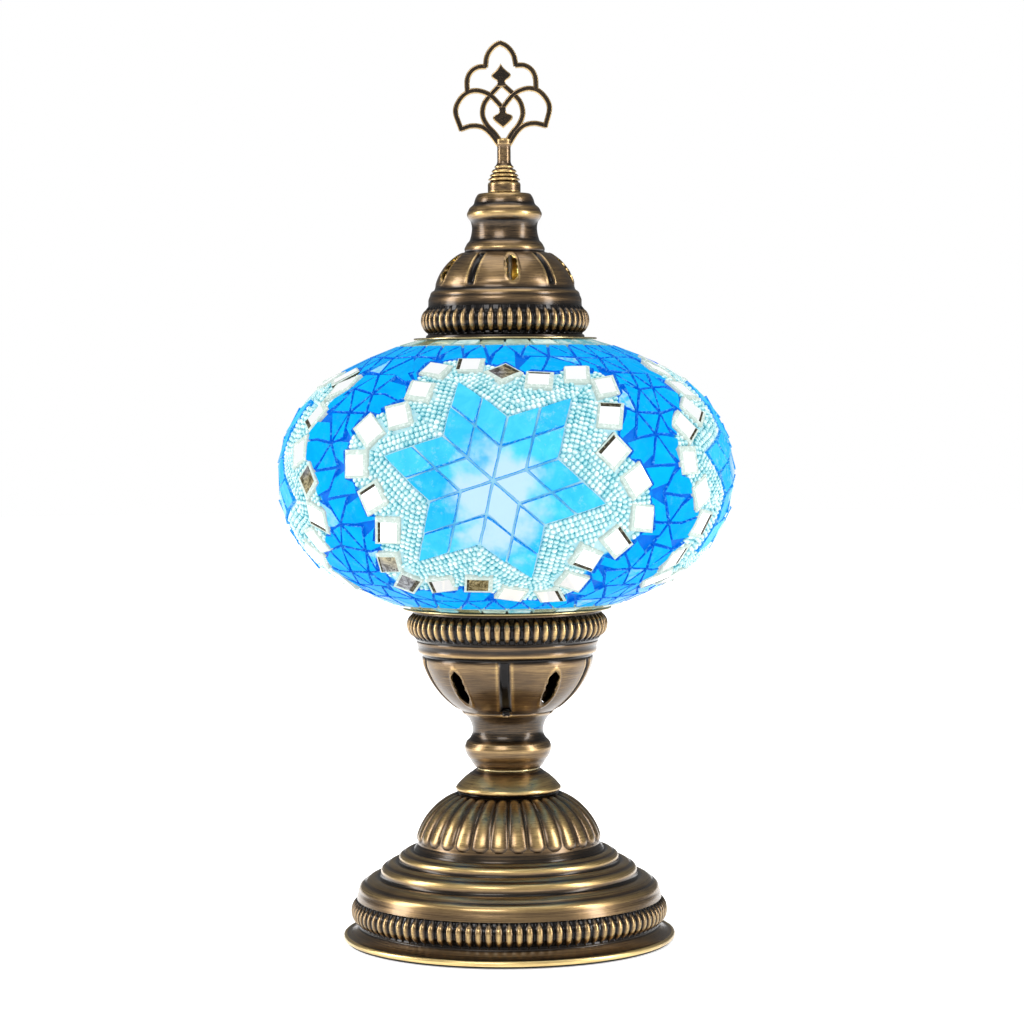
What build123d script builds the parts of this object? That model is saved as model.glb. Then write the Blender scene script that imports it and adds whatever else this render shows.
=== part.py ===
from build123d import *
import os
import math
import random

os.makedirs("parts", exist_ok=True)

# Mosaic glass table lamp. Millimetres, +Z up, origin on the resting plane, on the lamp's axis.
# The front of the lamp, with one medallion nearly centred on it, faces -Y.

# ---------------------------------------------------------------- driving dimensions
front = -90.0                   # polar angle of the lamp's front
wall = 1.0                      # spun brass sheet
plate = 0.6                     # gallery discs
felt = 0.9
stem_radius = 4.9               # M10 lamp pipe
stem_bore = 3.5
stem_clear = 5.2                # plain holes that the stem passes through

foot_radius = 67.3              # lip of the foot
skirt_radius = 60.8
collar_top = 68.9               # top of the base shell
cup_bottom = 69.7
cup_top = 134.4
globe_seat = cup_top + plate    # top face of the lower gallery disc
globe_centre = 187.9
lower_disc_radius = 42.3
upper_disc_radius = 36.9
upper_disc_height = 242.8
cap_foot = upper_disc_height + plate
cap_top = 301.5

# The globe's tiled face: an equator arc that runs tangent into a flatter arc above and below.
equator_arc = 47.8
polar_arc = 137.7
tangent_angle = math.radians(60.8)
axis_offset = (polar_arc - equator_arc) * math.cos(tangent_angle)
polar_drop = (polar_arc - equator_arc) * math.sin(tangent_angle)
tile_thickness = 2.2
bedding = 0.1                   # adhesive between a tile's back and the glass
glass_wall = 2.5
bottom_opening = 33.0
top_opening = 24.0

# Mosaic pattern
medallion_count = 4
medallion_turn = -2.0           # the front medallion sits this far off the front, in degrees
grout_gap = 0.8
star_points = 6
star_side = 26.0                # side of one of the star's six rhombi
star_turn = 48.0                # direction of one star point, anticlockwise from level
star_offset = (-1.5, 1.0)
mirror_count = 25
mirror_side = 10.0
mirror_ring = 53.3              # mean radius of the row of mirrors
mirror_wave = 6.7               # the row dips this far between the star's points
field_rows_top = 77.0           # arc length from the equator to the field's upper edge
field_rows_bottom = -72.0
collar_strip = 10.0
upper_collar_end = 84.6
lower_collar_end = -77.9

# Bulb and lampholder
bulb_radius = 22.5
bulb_centre = 177.0
bulb_length = 78.0
bulb_cap_radius = 6.85
screw_shell_bore = 7.15
holder_radius = 14.0
holder_bottom = 96.0
holder_top = 141.0

finial_lean = 2.0               # degrees, the cast plate leans a little to the lamp's left
finial_plate = 2.6
finial_bar = 1.75
finial_foot = cap_top + 0.1
stem_of_finial = 322.2          # where the plate's bars meet the shank


def spun_outline(stations):
    """Draw a spun shell's outer face from the top down.

    Each station is (radius, height, bulge); the bulge is how far the stretch that ends there
    swells outwards, or inwards where it is negative, and is 0 for a straight stretch.
    """
    for upper, lower in zip(stations, stations[1:]):
        start = (upper[0], upper[1])
        end = (lower[0], lower[1])
        if lower[2] == 0:
            Line(start, end)
        else:
            SagittaArc(start, end, lower[2])


def inside_of(stations):
    """The same outline moved one sheet thickness towards the inner side of the shell."""
    outward = []
    for upper, lower in zip(stations, stations[1:]):
        length = math.hypot(lower[0] - upper[0], lower[1] - upper[1])
        outward.append(((upper[1] - lower[1]) / length, (lower[0] - upper[0]) / length))
    before = [outward[0]] + outward
    after = outward + [outward[-1]]
    inner = []
    for station, one, two in zip(stations, before, after):
        share = wall / (1 + one[0] * two[0] + one[1] * two[1])
        radius = station[0] - share * (one[0] + two[0])
        height = station[1] - share * (one[1] + two[1])
        inner.append((radius, height, station[2]))
    return inner


def spun_section(stations):
    """Section of a spun shell, whose sheet lies on the inner side of its outline."""
    inner = inside_of(stations)
    with BuildSketch(Plane.XZ) as section:
        with BuildLine():
            spun_outline(stations)
            spun_outline(inner)
            Line(stations[0][:2], inner[0][:2])
            Line(stations[-1][:2], inner[-1][:2])
        make_face()
    return section.sketch


def radial_plane(angle, height, distance=0.0):
    """A plane that faces away from the axis, with its local Y pointing up."""
    turn = math.radians(angle)
    outward = (math.cos(turn), math.sin(turn), 0)
    sideways = (-math.sin(turn), math.cos(turn), 0)
    middle = (distance * outward[0], distance * outward[1], height)
    return Plane(origin=middle, x_dir=sideways, z_dir=outward)


def vent_outline(width, height):
    """A pointed vent with a slight waist, standing on its point."""
    top = (0, height / 2)
    bottom = (0, -height / 2)
    waist = 0.36 * width
    ThreePointArc(top, (0.44 * width, 0.3 * height), (waist, 0))
    ThreePointArc((waist, 0), (0.5 * width, -0.22 * height), bottom)
    ThreePointArc(bottom, (-0.5 * width, -0.22 * height), (-waist, 0))
    ThreePointArc((-waist, 0), (-0.44 * width, 0.3 * height), top)


def hexagon_nut(height, across_flats, bore):
    """Section of a plain hexagon nut that stands on the given height."""
    with BuildSketch(Plane.XY.offset(height)) as section:
        RegularPolygon(across_flats / 2, 6, major_radius=False)
        Circle(bore, mode=Mode.SUBTRACT)
    return section.sketch


# ---------------------------------------------------------------- base
base_stations = [
    (stem_clear, collar_top, 0),
    (13.3, collar_top, 0),
    (20.9, 62.3, 0.3),
    (20.9, 60.6, 0),
    (21.2, 59.7, 0),
    (38.3, 37.3, 3.9),
    (44.6, 33.2, 1.2),
    (52.0, 27.8, 1.7),
    (60.9, 20.6, 1.9),
    (61.6, 19.6, 0),
    (61.8, 16.4, 0),
    (60.9, 7.2, 2.7),
    (skirt_radius, 2.2, 0),
    (foot_radius - wall - 0.5, felt + wall + 0.1, 0),
    (foot_radius - wall, 4.0, 0),
]
bush_angle = 68.0               # the cord leaves at the back, a little to the right
bush_radius = 57.6              # where the bush's collar touches the third step
bush_height = 25.7
bush_rise = 51.0                # its bore points up and outwards
bush_bore = 3.25
bush_body = 4.5


def bush_plane():
    """Plane that touches the third step at the cord bush, facing out of the base."""
    turn = math.radians(bush_angle)
    rise = math.radians(bush_rise)
    middle = (bush_radius * math.cos(turn), bush_radius * math.sin(turn), bush_height)
    outward = (math.cos(rise) * math.cos(turn), math.cos(rise) * math.sin(turn), math.sin(rise))
    return Plane(origin=middle, x_dir=(-math.sin(turn), math.cos(turn), 0), z_dir=outward)


with BuildPart() as base_shell:
    revolve(spun_section(base_stations), axis=Axis.Z)
    with BuildSketch(bush_plane()):
        Circle(bush_body + 0.1)
    extrude(amount=8, both=True, mode=Mode.SUBTRACT)
base_shell.part.label = "base_shell"
export_step(base_shell.part, "parts/base_shell.step")

bush_inside = 6.0
bush_collar = 2.2
with BuildPart() as cord_bush:
    with BuildSketch(bush_plane().offset(-bush_inside)):
        Circle(bush_body)
    extrude(amount=bush_inside + 0.1)
    with BuildSketch(bush_plane().offset(0.1)):
        Circle(bush_body + 1.5)
    extrude(amount=bush_collar)
    fillet(cord_bush.faces().sort_by(Axis((0, 0, 0), bush_plane().z_dir))[-1].edges(), 0.9)
    with BuildSketch(bush_plane().offset(-bush_inside)):
        Circle(bush_bore)
    extrude(amount=bush_inside + bush_collar + 1, mode=Mode.SUBTRACT)
cord_bush.part.label = "cord_bush"
export_step(cord_bush.part, "parts/cord_bush.step")

ballast_radius = 57.0
ballast_bottom = 10.6
ballast_thickness = 6.5
with BuildPart() as ballast_disc:
    with BuildSketch(Plane.XY.offset(ballast_bottom)):
        Circle(ballast_radius)
        Circle(stem_clear, mode=Mode.SUBTRACT)
    extrude(amount=ballast_thickness)
    with BuildSketch(Plane.XY.offset(ballast_bottom)):
        with Locations(Location((0, 0, 0), (0, 0, bush_angle))):
            with Locations((ballast_radius, 0)):
                Rectangle(26, 14)
    extrude(amount=ballast_thickness, mode=Mode.SUBTRACT)
ballast_disc.part.label = "ballast_disc"
export_step(ballast_disc.part, "parts/ballast_disc.step")

board_thickness = 3.0
with BuildPart() as underside_board:
    with BuildSketch(Plane.XY.offset(felt)):
        Circle(skirt_radius - wall - 0.4)
    extrude(amount=board_thickness)
underside_board.part.label = "underside_board"
export_step(underside_board.part, "parts/underside_board.step")

with BuildPart() as felt_pad:
    with BuildSketch(Plane.XY):
        Circle(foot_radius - 1.3)
    extrude(amount=felt)
felt_pad.part.label = "felt_pad"
export_step(felt_pad.part, "parts/felt_pad.step")

stem_bottom = 4.6
stem_top = holder_bottom + 6.0
with BuildPart() as stem_pipe:
    with BuildSketch(Plane.XY.offset(stem_bottom)):
        Circle(stem_radius)
        Circle(stem_bore, mode=Mode.SUBTRACT)
    extrude(amount=stem_top - stem_bottom)
stem_pipe.part.label = "stem_pipe"
export_step(stem_pipe.part, "parts/stem_pipe.step")

washer_thickness = 1.2
nut_thickness = 4.4
nut_across_flats = 17.0
lower_washer = ballast_bottom - washer_thickness
upper_washer = cup_bottom + wall
with BuildPart() as stem_washers:
    for washer_height in (lower_washer, upper_washer):
        with BuildSketch(Plane.XY.offset(washer_height)):
            Circle(10.0)
            Circle(stem_radius, mode=Mode.SUBTRACT)
    extrude(amount=washer_thickness)
stem_washers.part.label = "stem_washers"
export_step(stem_washers.part, "parts/stem_washers.step")

with BuildPart() as stem_nuts:
    add(hexagon_nut(lower_washer - nut_thickness, nut_across_flats, stem_radius))
    add(hexagon_nut(upper_washer + washer_thickness, nut_across_flats, stem_radius))
    extrude(amount=nut_thickness)
stem_nuts.part.label = "stem_nuts"
export_step(stem_nuts.part, "parts/stem_nuts.step")

with BuildPart() as seat_washer:
    with BuildSketch(Plane.XY.offset(collar_top)):
        Circle(12.4)
        Circle(stem_clear, mode=Mode.SUBTRACT)
    extrude(amount=cup_bottom - collar_top)
seat_washer.part.label = "seat_washer"
export_step(seat_washer.part, "parts/seat_washer.step")

# ---------------------------------------------------------------- lower cup and its gallery disc
cup_stations = [
    (37.4, cup_top, 0),
    (38.3, cup_top, 0),
    (38.3, 132.6, 0),
    (37.7, 123.0, 2.4),
    (36.6, 121.4, 0),
    (36.2, 117.6, 0),
    (34.3, 114.6, 0),
    (33.6, 110.6, 0),
    (21.4, 94.9, 1.4),
    (17.9, 93.1, 0),
    (17.9, 91.8, 0),
    (14.4, 84.8, -0.9),
    (16.2, 80.2, 0),
    (15.6, 73.6, 1.5),
    (13.0, cup_bottom, 0),
    (stem_clear, cup_bottom, 0),
]
vent_count = 5
cup_groove = medallion_turn
cup_vent = cup_groove + 180.0 / vent_count
with BuildPart() as lower_cup:
    revolve(spun_section(cup_stations), axis=Axis.Z)
    for number in range(vent_count):
        vent_angle = front + cup_vent + number * 360.0 / vent_count
        with BuildSketch(radial_plane(vent_angle, 104.3, 15.0)):
            with BuildLine():
                vent_outline(6.0, 14.0)
            make_face()
        extrude(amount=30, mode=Mode.SUBTRACT)
lower_cup.part.label = "lower_cup"
export_step(lower_cup.part, "parts/lower_cup.step")

disc_bore = holder_radius + 0.1
with BuildPart() as lower_disc:
    with BuildSketch(Plane.XY.offset(cup_top)):
        Circle(lower_disc_radius)
        Circle(disc_bore, mode=Mode.SUBTRACT)
    extrude(amount=plate)
lower_disc.part.label = "lower_disc"
export_step(lower_disc.part, "parts/lower_disc.step")

spring_sheet = 0.8
spring_arm = 8.0


def spring_clip(height, hub_radius, hub_bore, leg_radius, leg_length):
    """A hub with three arms, each ending in a leg; a negative leg length turns the legs down."""
    with BuildSketch(Plane.XY.offset(height)) as hub:
        Circle(hub_radius)
        with PolarLocations(0, 3, 90):
            with Locations((leg_radius / 2, 0)):
                Rectangle(leg_radius, spring_arm)
        Circle(hub_bore, mode=Mode.SUBTRACT)
    extrude(hub.sketch, amount=spring_sheet)
    leg_start = height if leg_length > 0 else height + spring_sheet
    with BuildSketch(Plane.XY.offset(leg_start)) as legs:
        with PolarLocations(0, 3, 90):
            with Locations((leg_radius - spring_sheet / 2, 0)):
                Rectangle(spring_sheet, spring_arm)
    extrude(legs.sketch, amount=leg_length)


with BuildPart() as globe_spring:
    spring_clip(globe_seat, 19.0, disc_bore, bottom_opening - 0.9, 13.0)
globe_spring.part.label = "globe_spring"
export_step(globe_spring.part, "parts/globe_spring.step")

with BuildPart() as shade_ring:
    with BuildSketch(Plane.XY.offset(globe_seat + spring_sheet)):
        Circle(18.0)
        Circle(holder_radius, mode=Mode.SUBTRACT)
    extrude(amount=4.0)
    fillet(shade_ring.edges().filter_by(GeomType.CIRCLE).sort_by(Axis.Z)[-1], 0.8)
shade_ring.part.label = "shade_ring"
export_step(shade_ring.part, "parts/shade_ring.step")

# ---------------------------------------------------------------- lampholder
holder_joint = 112.0
core_top = 118.0
with BuildPart() as holder_cap:
    with BuildSketch(Plane.XY.offset(holder_bottom)):
        Circle(holder_radius - 0.5)
    extrude(amount=holder_joint - holder_bottom)
    chamfer(holder_cap.edges().sort_by(Axis.Z)[0], 3.0)
    with BuildSketch(Plane.XY.offset(holder_bottom)):
        Circle(stem_radius)
    extrude(amount=6.0, mode=Mode.SUBTRACT)
    with BuildSketch(Plane.XY.offset(stem_top)):
        Circle(holder_radius - 2.5)
    extrude(amount=10.0, mode=Mode.SUBTRACT)
holder_cap.part.label = "holder_cap"
export_step(holder_cap.part, "parts/holder_cap.step")

with BuildPart() as holder_skirt:
    with BuildSketch(Plane.XY.offset(holder_joint)):
        Circle(holder_radius)
    extrude(amount=holder_top - holder_joint)
    with BuildSketch(Plane.XY.offset(cup_top - 2.5)):
        Circle(holder_radius + 2.5)
    extrude(amount=2.5)
    with BuildSketch(Plane.XY.offset(holder_joint)):
        Circle(screw_shell_bore + 1.35)
    extrude(amount=holder_top - holder_joint, mode=Mode.SUBTRACT)
holder_skirt.part.label = "holder_skirt"
export_step(holder_skirt.part, "parts/holder_skirt.step")

screw_hole = 5.0
with BuildPart() as holder_core:
    with BuildSketch(Plane.XY.offset(holder_joint)):
        Circle(screw_shell_bore + 1.3)
        with Locations((screw_hole, 0), (-screw_hole, 0)):
            Circle(1.5, mode=Mode.SUBTRACT)
    extrude(amount=core_top - holder_joint)
holder_core.part.label = "holder_core"
export_step(holder_core.part, "parts/holder_core.step")

with BuildPart() as screw_shell:
    with BuildSketch(Plane.XY.offset(core_top)):
        Circle(screw_shell_bore + 0.4)
        Circle(screw_shell_bore, mode=Mode.SUBTRACT)
    extrude(amount=holder_top - core_top - 0.6)
screw_shell.part.label = "screw_shell"
export_step(screw_shell.part, "parts/screw_shell.step")

with BuildPart() as centre_contact:
    with BuildSketch(Plane.XZ):
        with BuildLine():
            Polyline(
                (-4.6, core_top), (-1.0, core_top), (0, core_top + 2.2), (1.6, core_top + 2.6),
                (1.6, core_top + 3.1), (-0.3, core_top + 2.7), (-1.4, core_top + 0.5),
                (-4.6, core_top + 0.5), close=True,
            )
        make_face()
    extrude(amount=1.5, both=True)
centre_contact.part.label = "centre_contact"
export_step(centre_contact.part, "parts/centre_contact.step")

with BuildPart() as terminal_screws:
    with BuildSketch(Plane.XY.offset(holder_joint)):
        with Locations((screw_hole, 0), (-screw_hole, 0)):
            Circle(1.5)
    extrude(amount=core_top - holder_joint)
    with BuildSketch(Plane.XY.offset(holder_joint)):
        with Locations((screw_hole, 0), (-screw_hole, 0)):
            Circle(2.4)
    extrude(amount=-1.8)
terminal_screws.part.label = "terminal_screws"
export_step(terminal_screws.part, "parts/terminal_screws.step")

# ---------------------------------------------------------------- bulb
bulb_top = bulb_centre + bulb_radius
bulb_bottom = bulb_top - bulb_length
contact_height = 1.1
insulator_height = 3.4
cap_height = 20.0
insulator_foot = bulb_bottom + contact_height
bulb_cap_foot = insulator_foot + insulator_height
bulb_cap_top = bulb_cap_foot + cap_height
neck_radius = 8.2
with BuildPart() as bulb_glass:
    with BuildSketch(Plane.XZ):
        with BuildLine():
            shoulder = math.radians(-52)
            meet = (bulb_radius * math.cos(shoulder), bulb_centre + bulb_radius * math.sin(shoulder))
            Line((0, bulb_cap_top + 0.2), (neck_radius, bulb_cap_top + 0.2))
            SagittaArc((neck_radius, bulb_cap_top + 0.2), meet, 1.2)
            ThreePointArc(meet, (bulb_radius, bulb_centre), (0, bulb_top))
            Line((0, bulb_top), (0, bulb_cap_top + 0.2))
        make_face()
    revolve(axis=Axis.Z)
bulb_glass.part.label = "bulb_glass"
export_step(bulb_glass.part, "parts/bulb_glass.step")

with BuildPart() as bulb_cap:
    with BuildSketch(Plane.XY.offset(bulb_cap_foot)):
        Circle(bulb_cap_radius)
    extrude(amount=cap_height + 0.2)
bulb_cap.part.label = "bulb_cap"
export_step(bulb_cap.part, "parts/bulb_cap.step")

with BuildPart() as bulb_insulator:
    with BuildSketch(Plane.XY.offset(insulator_foot)):
        Circle(bulb_cap_radius - 0.3)
    extrude(amount=insulator_height)
    chamfer(bulb_insulator.edges().sort_by(Axis.Z)[0], 2.0)
bulb_insulator.part.label = "bulb_insulator"
export_step(bulb_insulator.part, "parts/bulb_insulator.step")

with BuildPart() as bulb_contact:
    with BuildSketch(Plane.XY.offset(bulb_bottom)):
        Circle(2.4)
    extrude(amount=contact_height)
bulb_contact.part.label = "bulb_contact"
export_step(bulb_contact.part, "parts/bulb_contact.step")


# ---------------------------------------------------------------- globe
def arc_point(angle, depth=0.0):
    """Radius and height above the globe's centre of the face that lies depth below the tiles."""
    side = math.copysign(1.0, angle)
    if abs(angle) <= tangent_angle:
        radius = axis_offset + (equator_arc - depth) * math.cos(angle)
        return radius, (equator_arc - depth) * math.sin(angle)
    radius = (polar_arc - depth) * math.cos(angle)
    return radius, (polar_arc - depth) * math.sin(angle) - side * polar_drop


def arc_angle(length):
    """Angle of the face's normal at an arc length measured from the equator."""
    side = math.copysign(1.0, length)
    knee = equator_arc * tangent_angle
    if abs(length) <= knee:
        return length / equator_arc
    return side * (tangent_angle + (abs(length) - knee) / polar_arc)


def girth_radius(length):
    return arc_point(arc_angle(length))[0]


def shell_outline(depth, bottom_radius, top_radius):
    """Draw the globe's face at a depth from its bottom opening up to its top opening."""
    bottom_angle = -math.acos(bottom_radius / (polar_arc - depth))
    top_angle = math.acos(top_radius / (polar_arc - depth))
    angles = [bottom_angle, -tangent_angle, tangent_angle, top_angle]
    for low, high in zip(angles, angles[1:]):
        points = []
        for angle in (low, (low + high) / 2, high):
            radius, rise = arc_point(angle, depth)
            points.append((radius, globe_centre + rise))
        if abs(low) > tangent_angle:
            points[2] = shell_knee(depth, -1)
        if abs(high) > tangent_angle:
            points[0] = shell_knee(depth, 1)
        ThreePointArc(*points)
    return [arc_point(angle, depth) for angle in (bottom_angle, top_angle)]


def shell_knee(depth, side):
    """The point where the equator arc meets the upper (+1) or lower (-1) polar arc."""
    radius, rise = arc_point(side * tangent_angle, depth)
    return radius, globe_centre + rise


def draw_shell(outer_depth, inner_depth, bottom_radius, top_radius):
    """Draw the closed section of a shell that lies between two depths below the tiles' face."""
    outer_ends = shell_outline(outer_depth, bottom_radius, top_radius)
    inner_ends = shell_outline(inner_depth, bottom_radius, top_radius)
    for outer_end, inner_end in zip(outer_ends, inner_ends):
        start = (outer_end[0], globe_centre + outer_end[1])
        end = (inner_end[0], globe_centre + inner_end[1])
        Line(start, end)


glass_face = tile_thickness + bedding
with BuildPart() as globe_glass:
    with BuildSketch(Plane.XZ):
        with BuildLine():
            draw_shell(glass_face, glass_face + glass_wall, bottom_opening, top_opening)
        make_face()
    revolve(axis=Axis.Z)
globe_glass.part.label = "globe_glass"
export_step(globe_glass.part, "parts/globe_glass.step")


# ---------------------------------------------------------------- mosaic
def face_point(turn, length):
    """Point on the tiles' face at a polar angle in radians and an arc length from the equator."""
    radius, rise = arc_point(arc_angle(length))
    return Vector(radius * math.cos(turn), radius * math.sin(turn), globe_centre + rise)


def face_plane(turn, length):
    """Plane that touches the tiles' face, with local X to the east and local Y to the north."""
    lean = arc_angle(length)
    outward = Vector(math.cos(lean) * math.cos(turn), math.cos(lean) * math.sin(turn), math.sin(lean))
    east = Vector(-math.sin(turn), math.cos(turn), 0)
    return Plane(origin=face_point(turn, length), x_dir=east, z_dir=outward)


def medallion_place(number, across, up):
    """Polar angle and arc length of a point of a medallion, given in surface millimetres."""
    middle = math.radians(front + medallion_turn + number * 360.0 / medallion_count)
    return middle + across / girth_radius(up), up


def shrink(corners, gap):
    """Move every side of a small convex outline inwards by the gap."""
    count = len(corners)
    turned = []
    for index in range(count):
        before = corners[index - 1]
        here = corners[index]
        after = corners[(index + 1) % count]
        first = (here - before).normalized()
        second = (after - here).normalized()
        sine = first.X * second.Y - first.Y * second.X
        turned.append(here + (second - first) * (gap / sine))
    return turned


def flat_tile(places, gap=grout_gap / 2):
    """One flat tile on the globe: its corners are (polar angle, arc length), anticlockwise."""
    turn = sum(place[0] for place in places) / len(places)
    length = sum(place[1] for place in places) / len(places)
    ground = face_plane(turn, length)
    corners = []
    for place in places:
        local = ground.to_local_coords(face_point(*place))
        corners.append(Vector(local.X, local.Y))
    corners = shrink(corners, gap)
    with BuildSketch(ground) as outline:
        with BuildLine():
            Polyline(*corners, close=True)
        make_face()
    return extrude(outline.sketch, amount=-tile_thickness, mode=Mode.PRIVATE).solid()


def star_tiles_of(number):
    """Six rhombi that meet at the medallion's centre, each cut into two by two tiles."""
    tiles = []
    step = star_side / 2
    for point in range(star_points):
        low = math.radians(star_turn + point * 60.0 - 30.0)
        high = math.radians(star_turn + point * 60.0 + 30.0)
        for row in range(2):
            for column in range(2):
                places = []
                for a, b in ((row, column), (row + 1, column), (row + 1, column + 1), (row, column + 1)):
                    across = star_offset[0] + step * (a * math.cos(low) + b * math.cos(high))
                    up = star_offset[1] + step * (a * math.sin(low) + b * math.sin(high))
                    places.append(medallion_place(number, across, up))
                tiles.append(flat_tile(places))
    return tiles


def lobed_radius(direction, inset=0.0):
    """Radius of the row of mirrors in a direction given in radians."""
    return mirror_ring - inset + mirror_wave * math.cos(6 * (direction - math.radians(star_turn)))


def mirror_directions():
    """Directions that space the mirrors evenly along the lobed row."""
    steps = 720
    lengths = [0.0]
    for index in range(steps):
        first = 2 * math.pi * index / steps
        second = 2 * math.pi * (index + 1) / steps
        first_point = (lobed_radius(first) * math.cos(first), lobed_radius(first) * math.sin(first))
        second_point = (lobed_radius(second) * math.cos(second), lobed_radius(second) * math.sin(second))
        lengths.append(lengths[-1] + math.dist(first_point, second_point))
    directions = []
    for number in range(mirror_count):
        wanted = lengths[-1] * number / mirror_count
        index = next(i for i in range(steps) if lengths[i + 1] >= wanted)
        directions.append(2 * math.pi * index / steps)
    return directions


def mirrors_of(number, chance):
    """Square mirrors along the lobed row, each turned a little out of line."""
    tiles = []
    for direction in mirror_directions():
        ahead = direction + 0.05
        behind = direction - 0.05
        run = (
            lobed_radius(ahead) * math.cos(ahead) - lobed_radius(behind) * math.cos(behind),
            lobed_radius(ahead) * math.sin(ahead) - lobed_radius(behind) * math.sin(behind),
        )
        turn = math.atan2(run[1], run[0]) + math.radians(chance.uniform(-16, 16))
        reach = lobed_radius(direction) + chance.uniform(-0.8, 0.8)
        places = []
        for quarter in range(4):
            corner = turn + math.radians(45 + 90 * quarter)
            across = reach * math.cos(direction) + mirror_side / math.sqrt(2) * math.cos(corner)
            up = reach * math.sin(direction) + mirror_side / math.sqrt(2) * math.sin(corner)
            places.append(medallion_place(number, across, up))
        tiles.append(flat_tile(places, 0.1))
    return tiles


chance = random.Random(11)

with BuildPart() as star_tiles:
    for number in range(medallion_count):
        add(star_tiles_of(number))
star_tiles.part.label = "star_tiles"
export_step(star_tiles.part, "parts/star_tiles.step")

with BuildPart() as mirror_tiles:
    for number in range(medallion_count):
        add(mirrors_of(number, chance))
mirror_tiles.part.label = "mirror_tiles"
export_step(mirror_tiles.part, "parts/mirror_tiles.step")

# Field of irregular triangles between the medallions and towards the two openings.
field_edge = mirror_side / 2 + 3.0
snap_depth = 7.5
belt_top = 49.0
belt_bottom = -49.0
belt_rows = 9
belt_columns = 44
pole_rows = 2
pole_columns = 32


def medallion_offset(turn, length):
    """How far a point lies outside the nearest medallion, and that medallion with its direction."""
    spacing = 360.0 / medallion_count
    number = round((math.degrees(turn) - front - medallion_turn) / spacing)
    middle = math.radians(front + medallion_turn + number * spacing)
    across = (turn - middle) * girth_radius(length)
    direction = math.atan2(length, across)
    return math.hypot(across, length) - lobed_radius(direction) - field_edge, number, direction


def settle(turn, length):
    """Move a grid point that falls just inside a medallion out to its edge, or drop it."""
    outside, number, direction = medallion_offset(turn, length)
    if outside >= 0:
        return turn, length
    if outside < -snap_depth:
        return None
    reach = lobed_radius(direction) + field_edge
    return medallion_place(number, reach * math.cos(direction), reach * math.sin(direction))


def field_grid(low, high, rows, columns, chance, wobble):
    """Rows of jittered grid points around the globe; the first and last rows stay level."""
    grid = []
    for row in range(rows + 1):
        base = low + (high - low) * row / rows
        step = 2 * math.pi / columns
        line = []
        for column in range(columns):
            turn = step * (column + 0.5 * (row % 2))
            length = base
            if 0 < row < rows:
                turn = turn + chance.uniform(-wobble, wobble) / girth_radius(base)
                length = length + chance.uniform(-wobble, wobble)
            line.append((turn, length))
        grid.append(line)
    return grid


def field_triangles(grid):
    """Cut every cell of a staggered grid into two triangles."""
    for row in range(len(grid) - 1):
        lower = grid[row]
        upper = grid[row + 1]
        columns = len(lower)
        for column in range(columns):
            lap = 2 * math.pi if column == columns - 1 else 0.0
            after = (column + 1) % columns
            here_low = lower[column]
            next_low = (lower[after][0] + lap, lower[after][1])
            here_high = upper[column]
            next_high = (upper[after][0] + lap, upper[after][1])
            if row % 2 == 0:
                yield here_low, next_low, here_high
                yield next_low, next_high, here_high
            else:
                yield here_low, next_low, next_high
                yield here_low, next_high, here_high


def field_tile(corners):
    """One triangle of the field, or none where it falls in a medallion or is only a sliver."""
    settled = [settle(*corner) for corner in corners]
    if None in settled:
        return []
    turn = sum(place[0] for place in settled) / 3
    length = sum(place[1] for place in settled) / 3
    if medallion_offset(turn, length)[0] < 0.4:
        return []
    points = [face_point(*place) for place in settled]
    sides = [(points[i] - points[i - 1]).length for i in range(3)]
    half = sum(sides) / 2
    area = math.sqrt(max(half * (half - sides[0]) * (half - sides[1]) * (half - sides[2]), 0))
    if area / half < 1.4:
        return []
    return [flat_tile(settled)]


with BuildPart() as field_tiles:
    field = []
    bands = (
        (field_rows_bottom, belt_bottom, pole_rows, pole_columns, 1.6),
        (belt_bottom, belt_top, belt_rows, belt_columns, 2.0),
        (belt_top, field_rows_top, pole_rows, pole_columns, 1.6),
    )
    for low, high, rows, columns, wobble in bands:
        for corners in field_triangles(field_grid(low, high, rows, columns, chance, wobble)):
            field += field_tile(corners)
    add(field)
field_tiles.part.label = "field_tiles"
export_step(field_tiles.part, "parts/field_tiles.step")


def collar_row(low, high):
    """A row of narrow rectangular strips around one of the globe's openings."""
    middle = (low + high) / 2
    count = int(2 * math.pi * girth_radius(middle) / collar_strip)
    step = 2 * math.pi / count
    tiles = []
    for index in range(count):
        west = step * index
        east = step * (index + 1)
        tiles.append(flat_tile([(west, low), (east, low), (east, high), (west, high)]))
    return tiles


with BuildPart() as upper_collar_tiles:
    add(collar_row(field_rows_top + 0.1, upper_collar_end))
upper_collar_tiles.part.label = "upper_collar_tiles"
export_step(upper_collar_tiles.part, "parts/upper_collar_tiles.step")

with BuildPart() as lower_collar_tiles:
    add(collar_row(lower_collar_end, field_rows_bottom - 0.1))
lower_collar_tiles.part.label = "lower_collar_tiles"
export_step(lower_collar_tiles.part, "parts/lower_collar_tiles.step")

# Bands of seed beads fill each medallion between its star and its mirrors.
bead_clear_star = 0.6
bead_clear_mirror = mirror_side / 2 + 3.6
near_plane = 60.0
far_plane = 100.0


def seen_from_centre(number, across, up, distance):
    """Where the ray from the globe's centre through a medallion point meets a flat plane."""
    turn, length = medallion_place(number, across, up)
    middle = math.radians(front + medallion_turn + number * 360.0 / medallion_count)
    radius, rise = arc_point(arc_angle(length))
    forward = radius * math.cos(turn - middle)
    return distance * math.tan(turn - middle), distance * rise / forward


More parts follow.
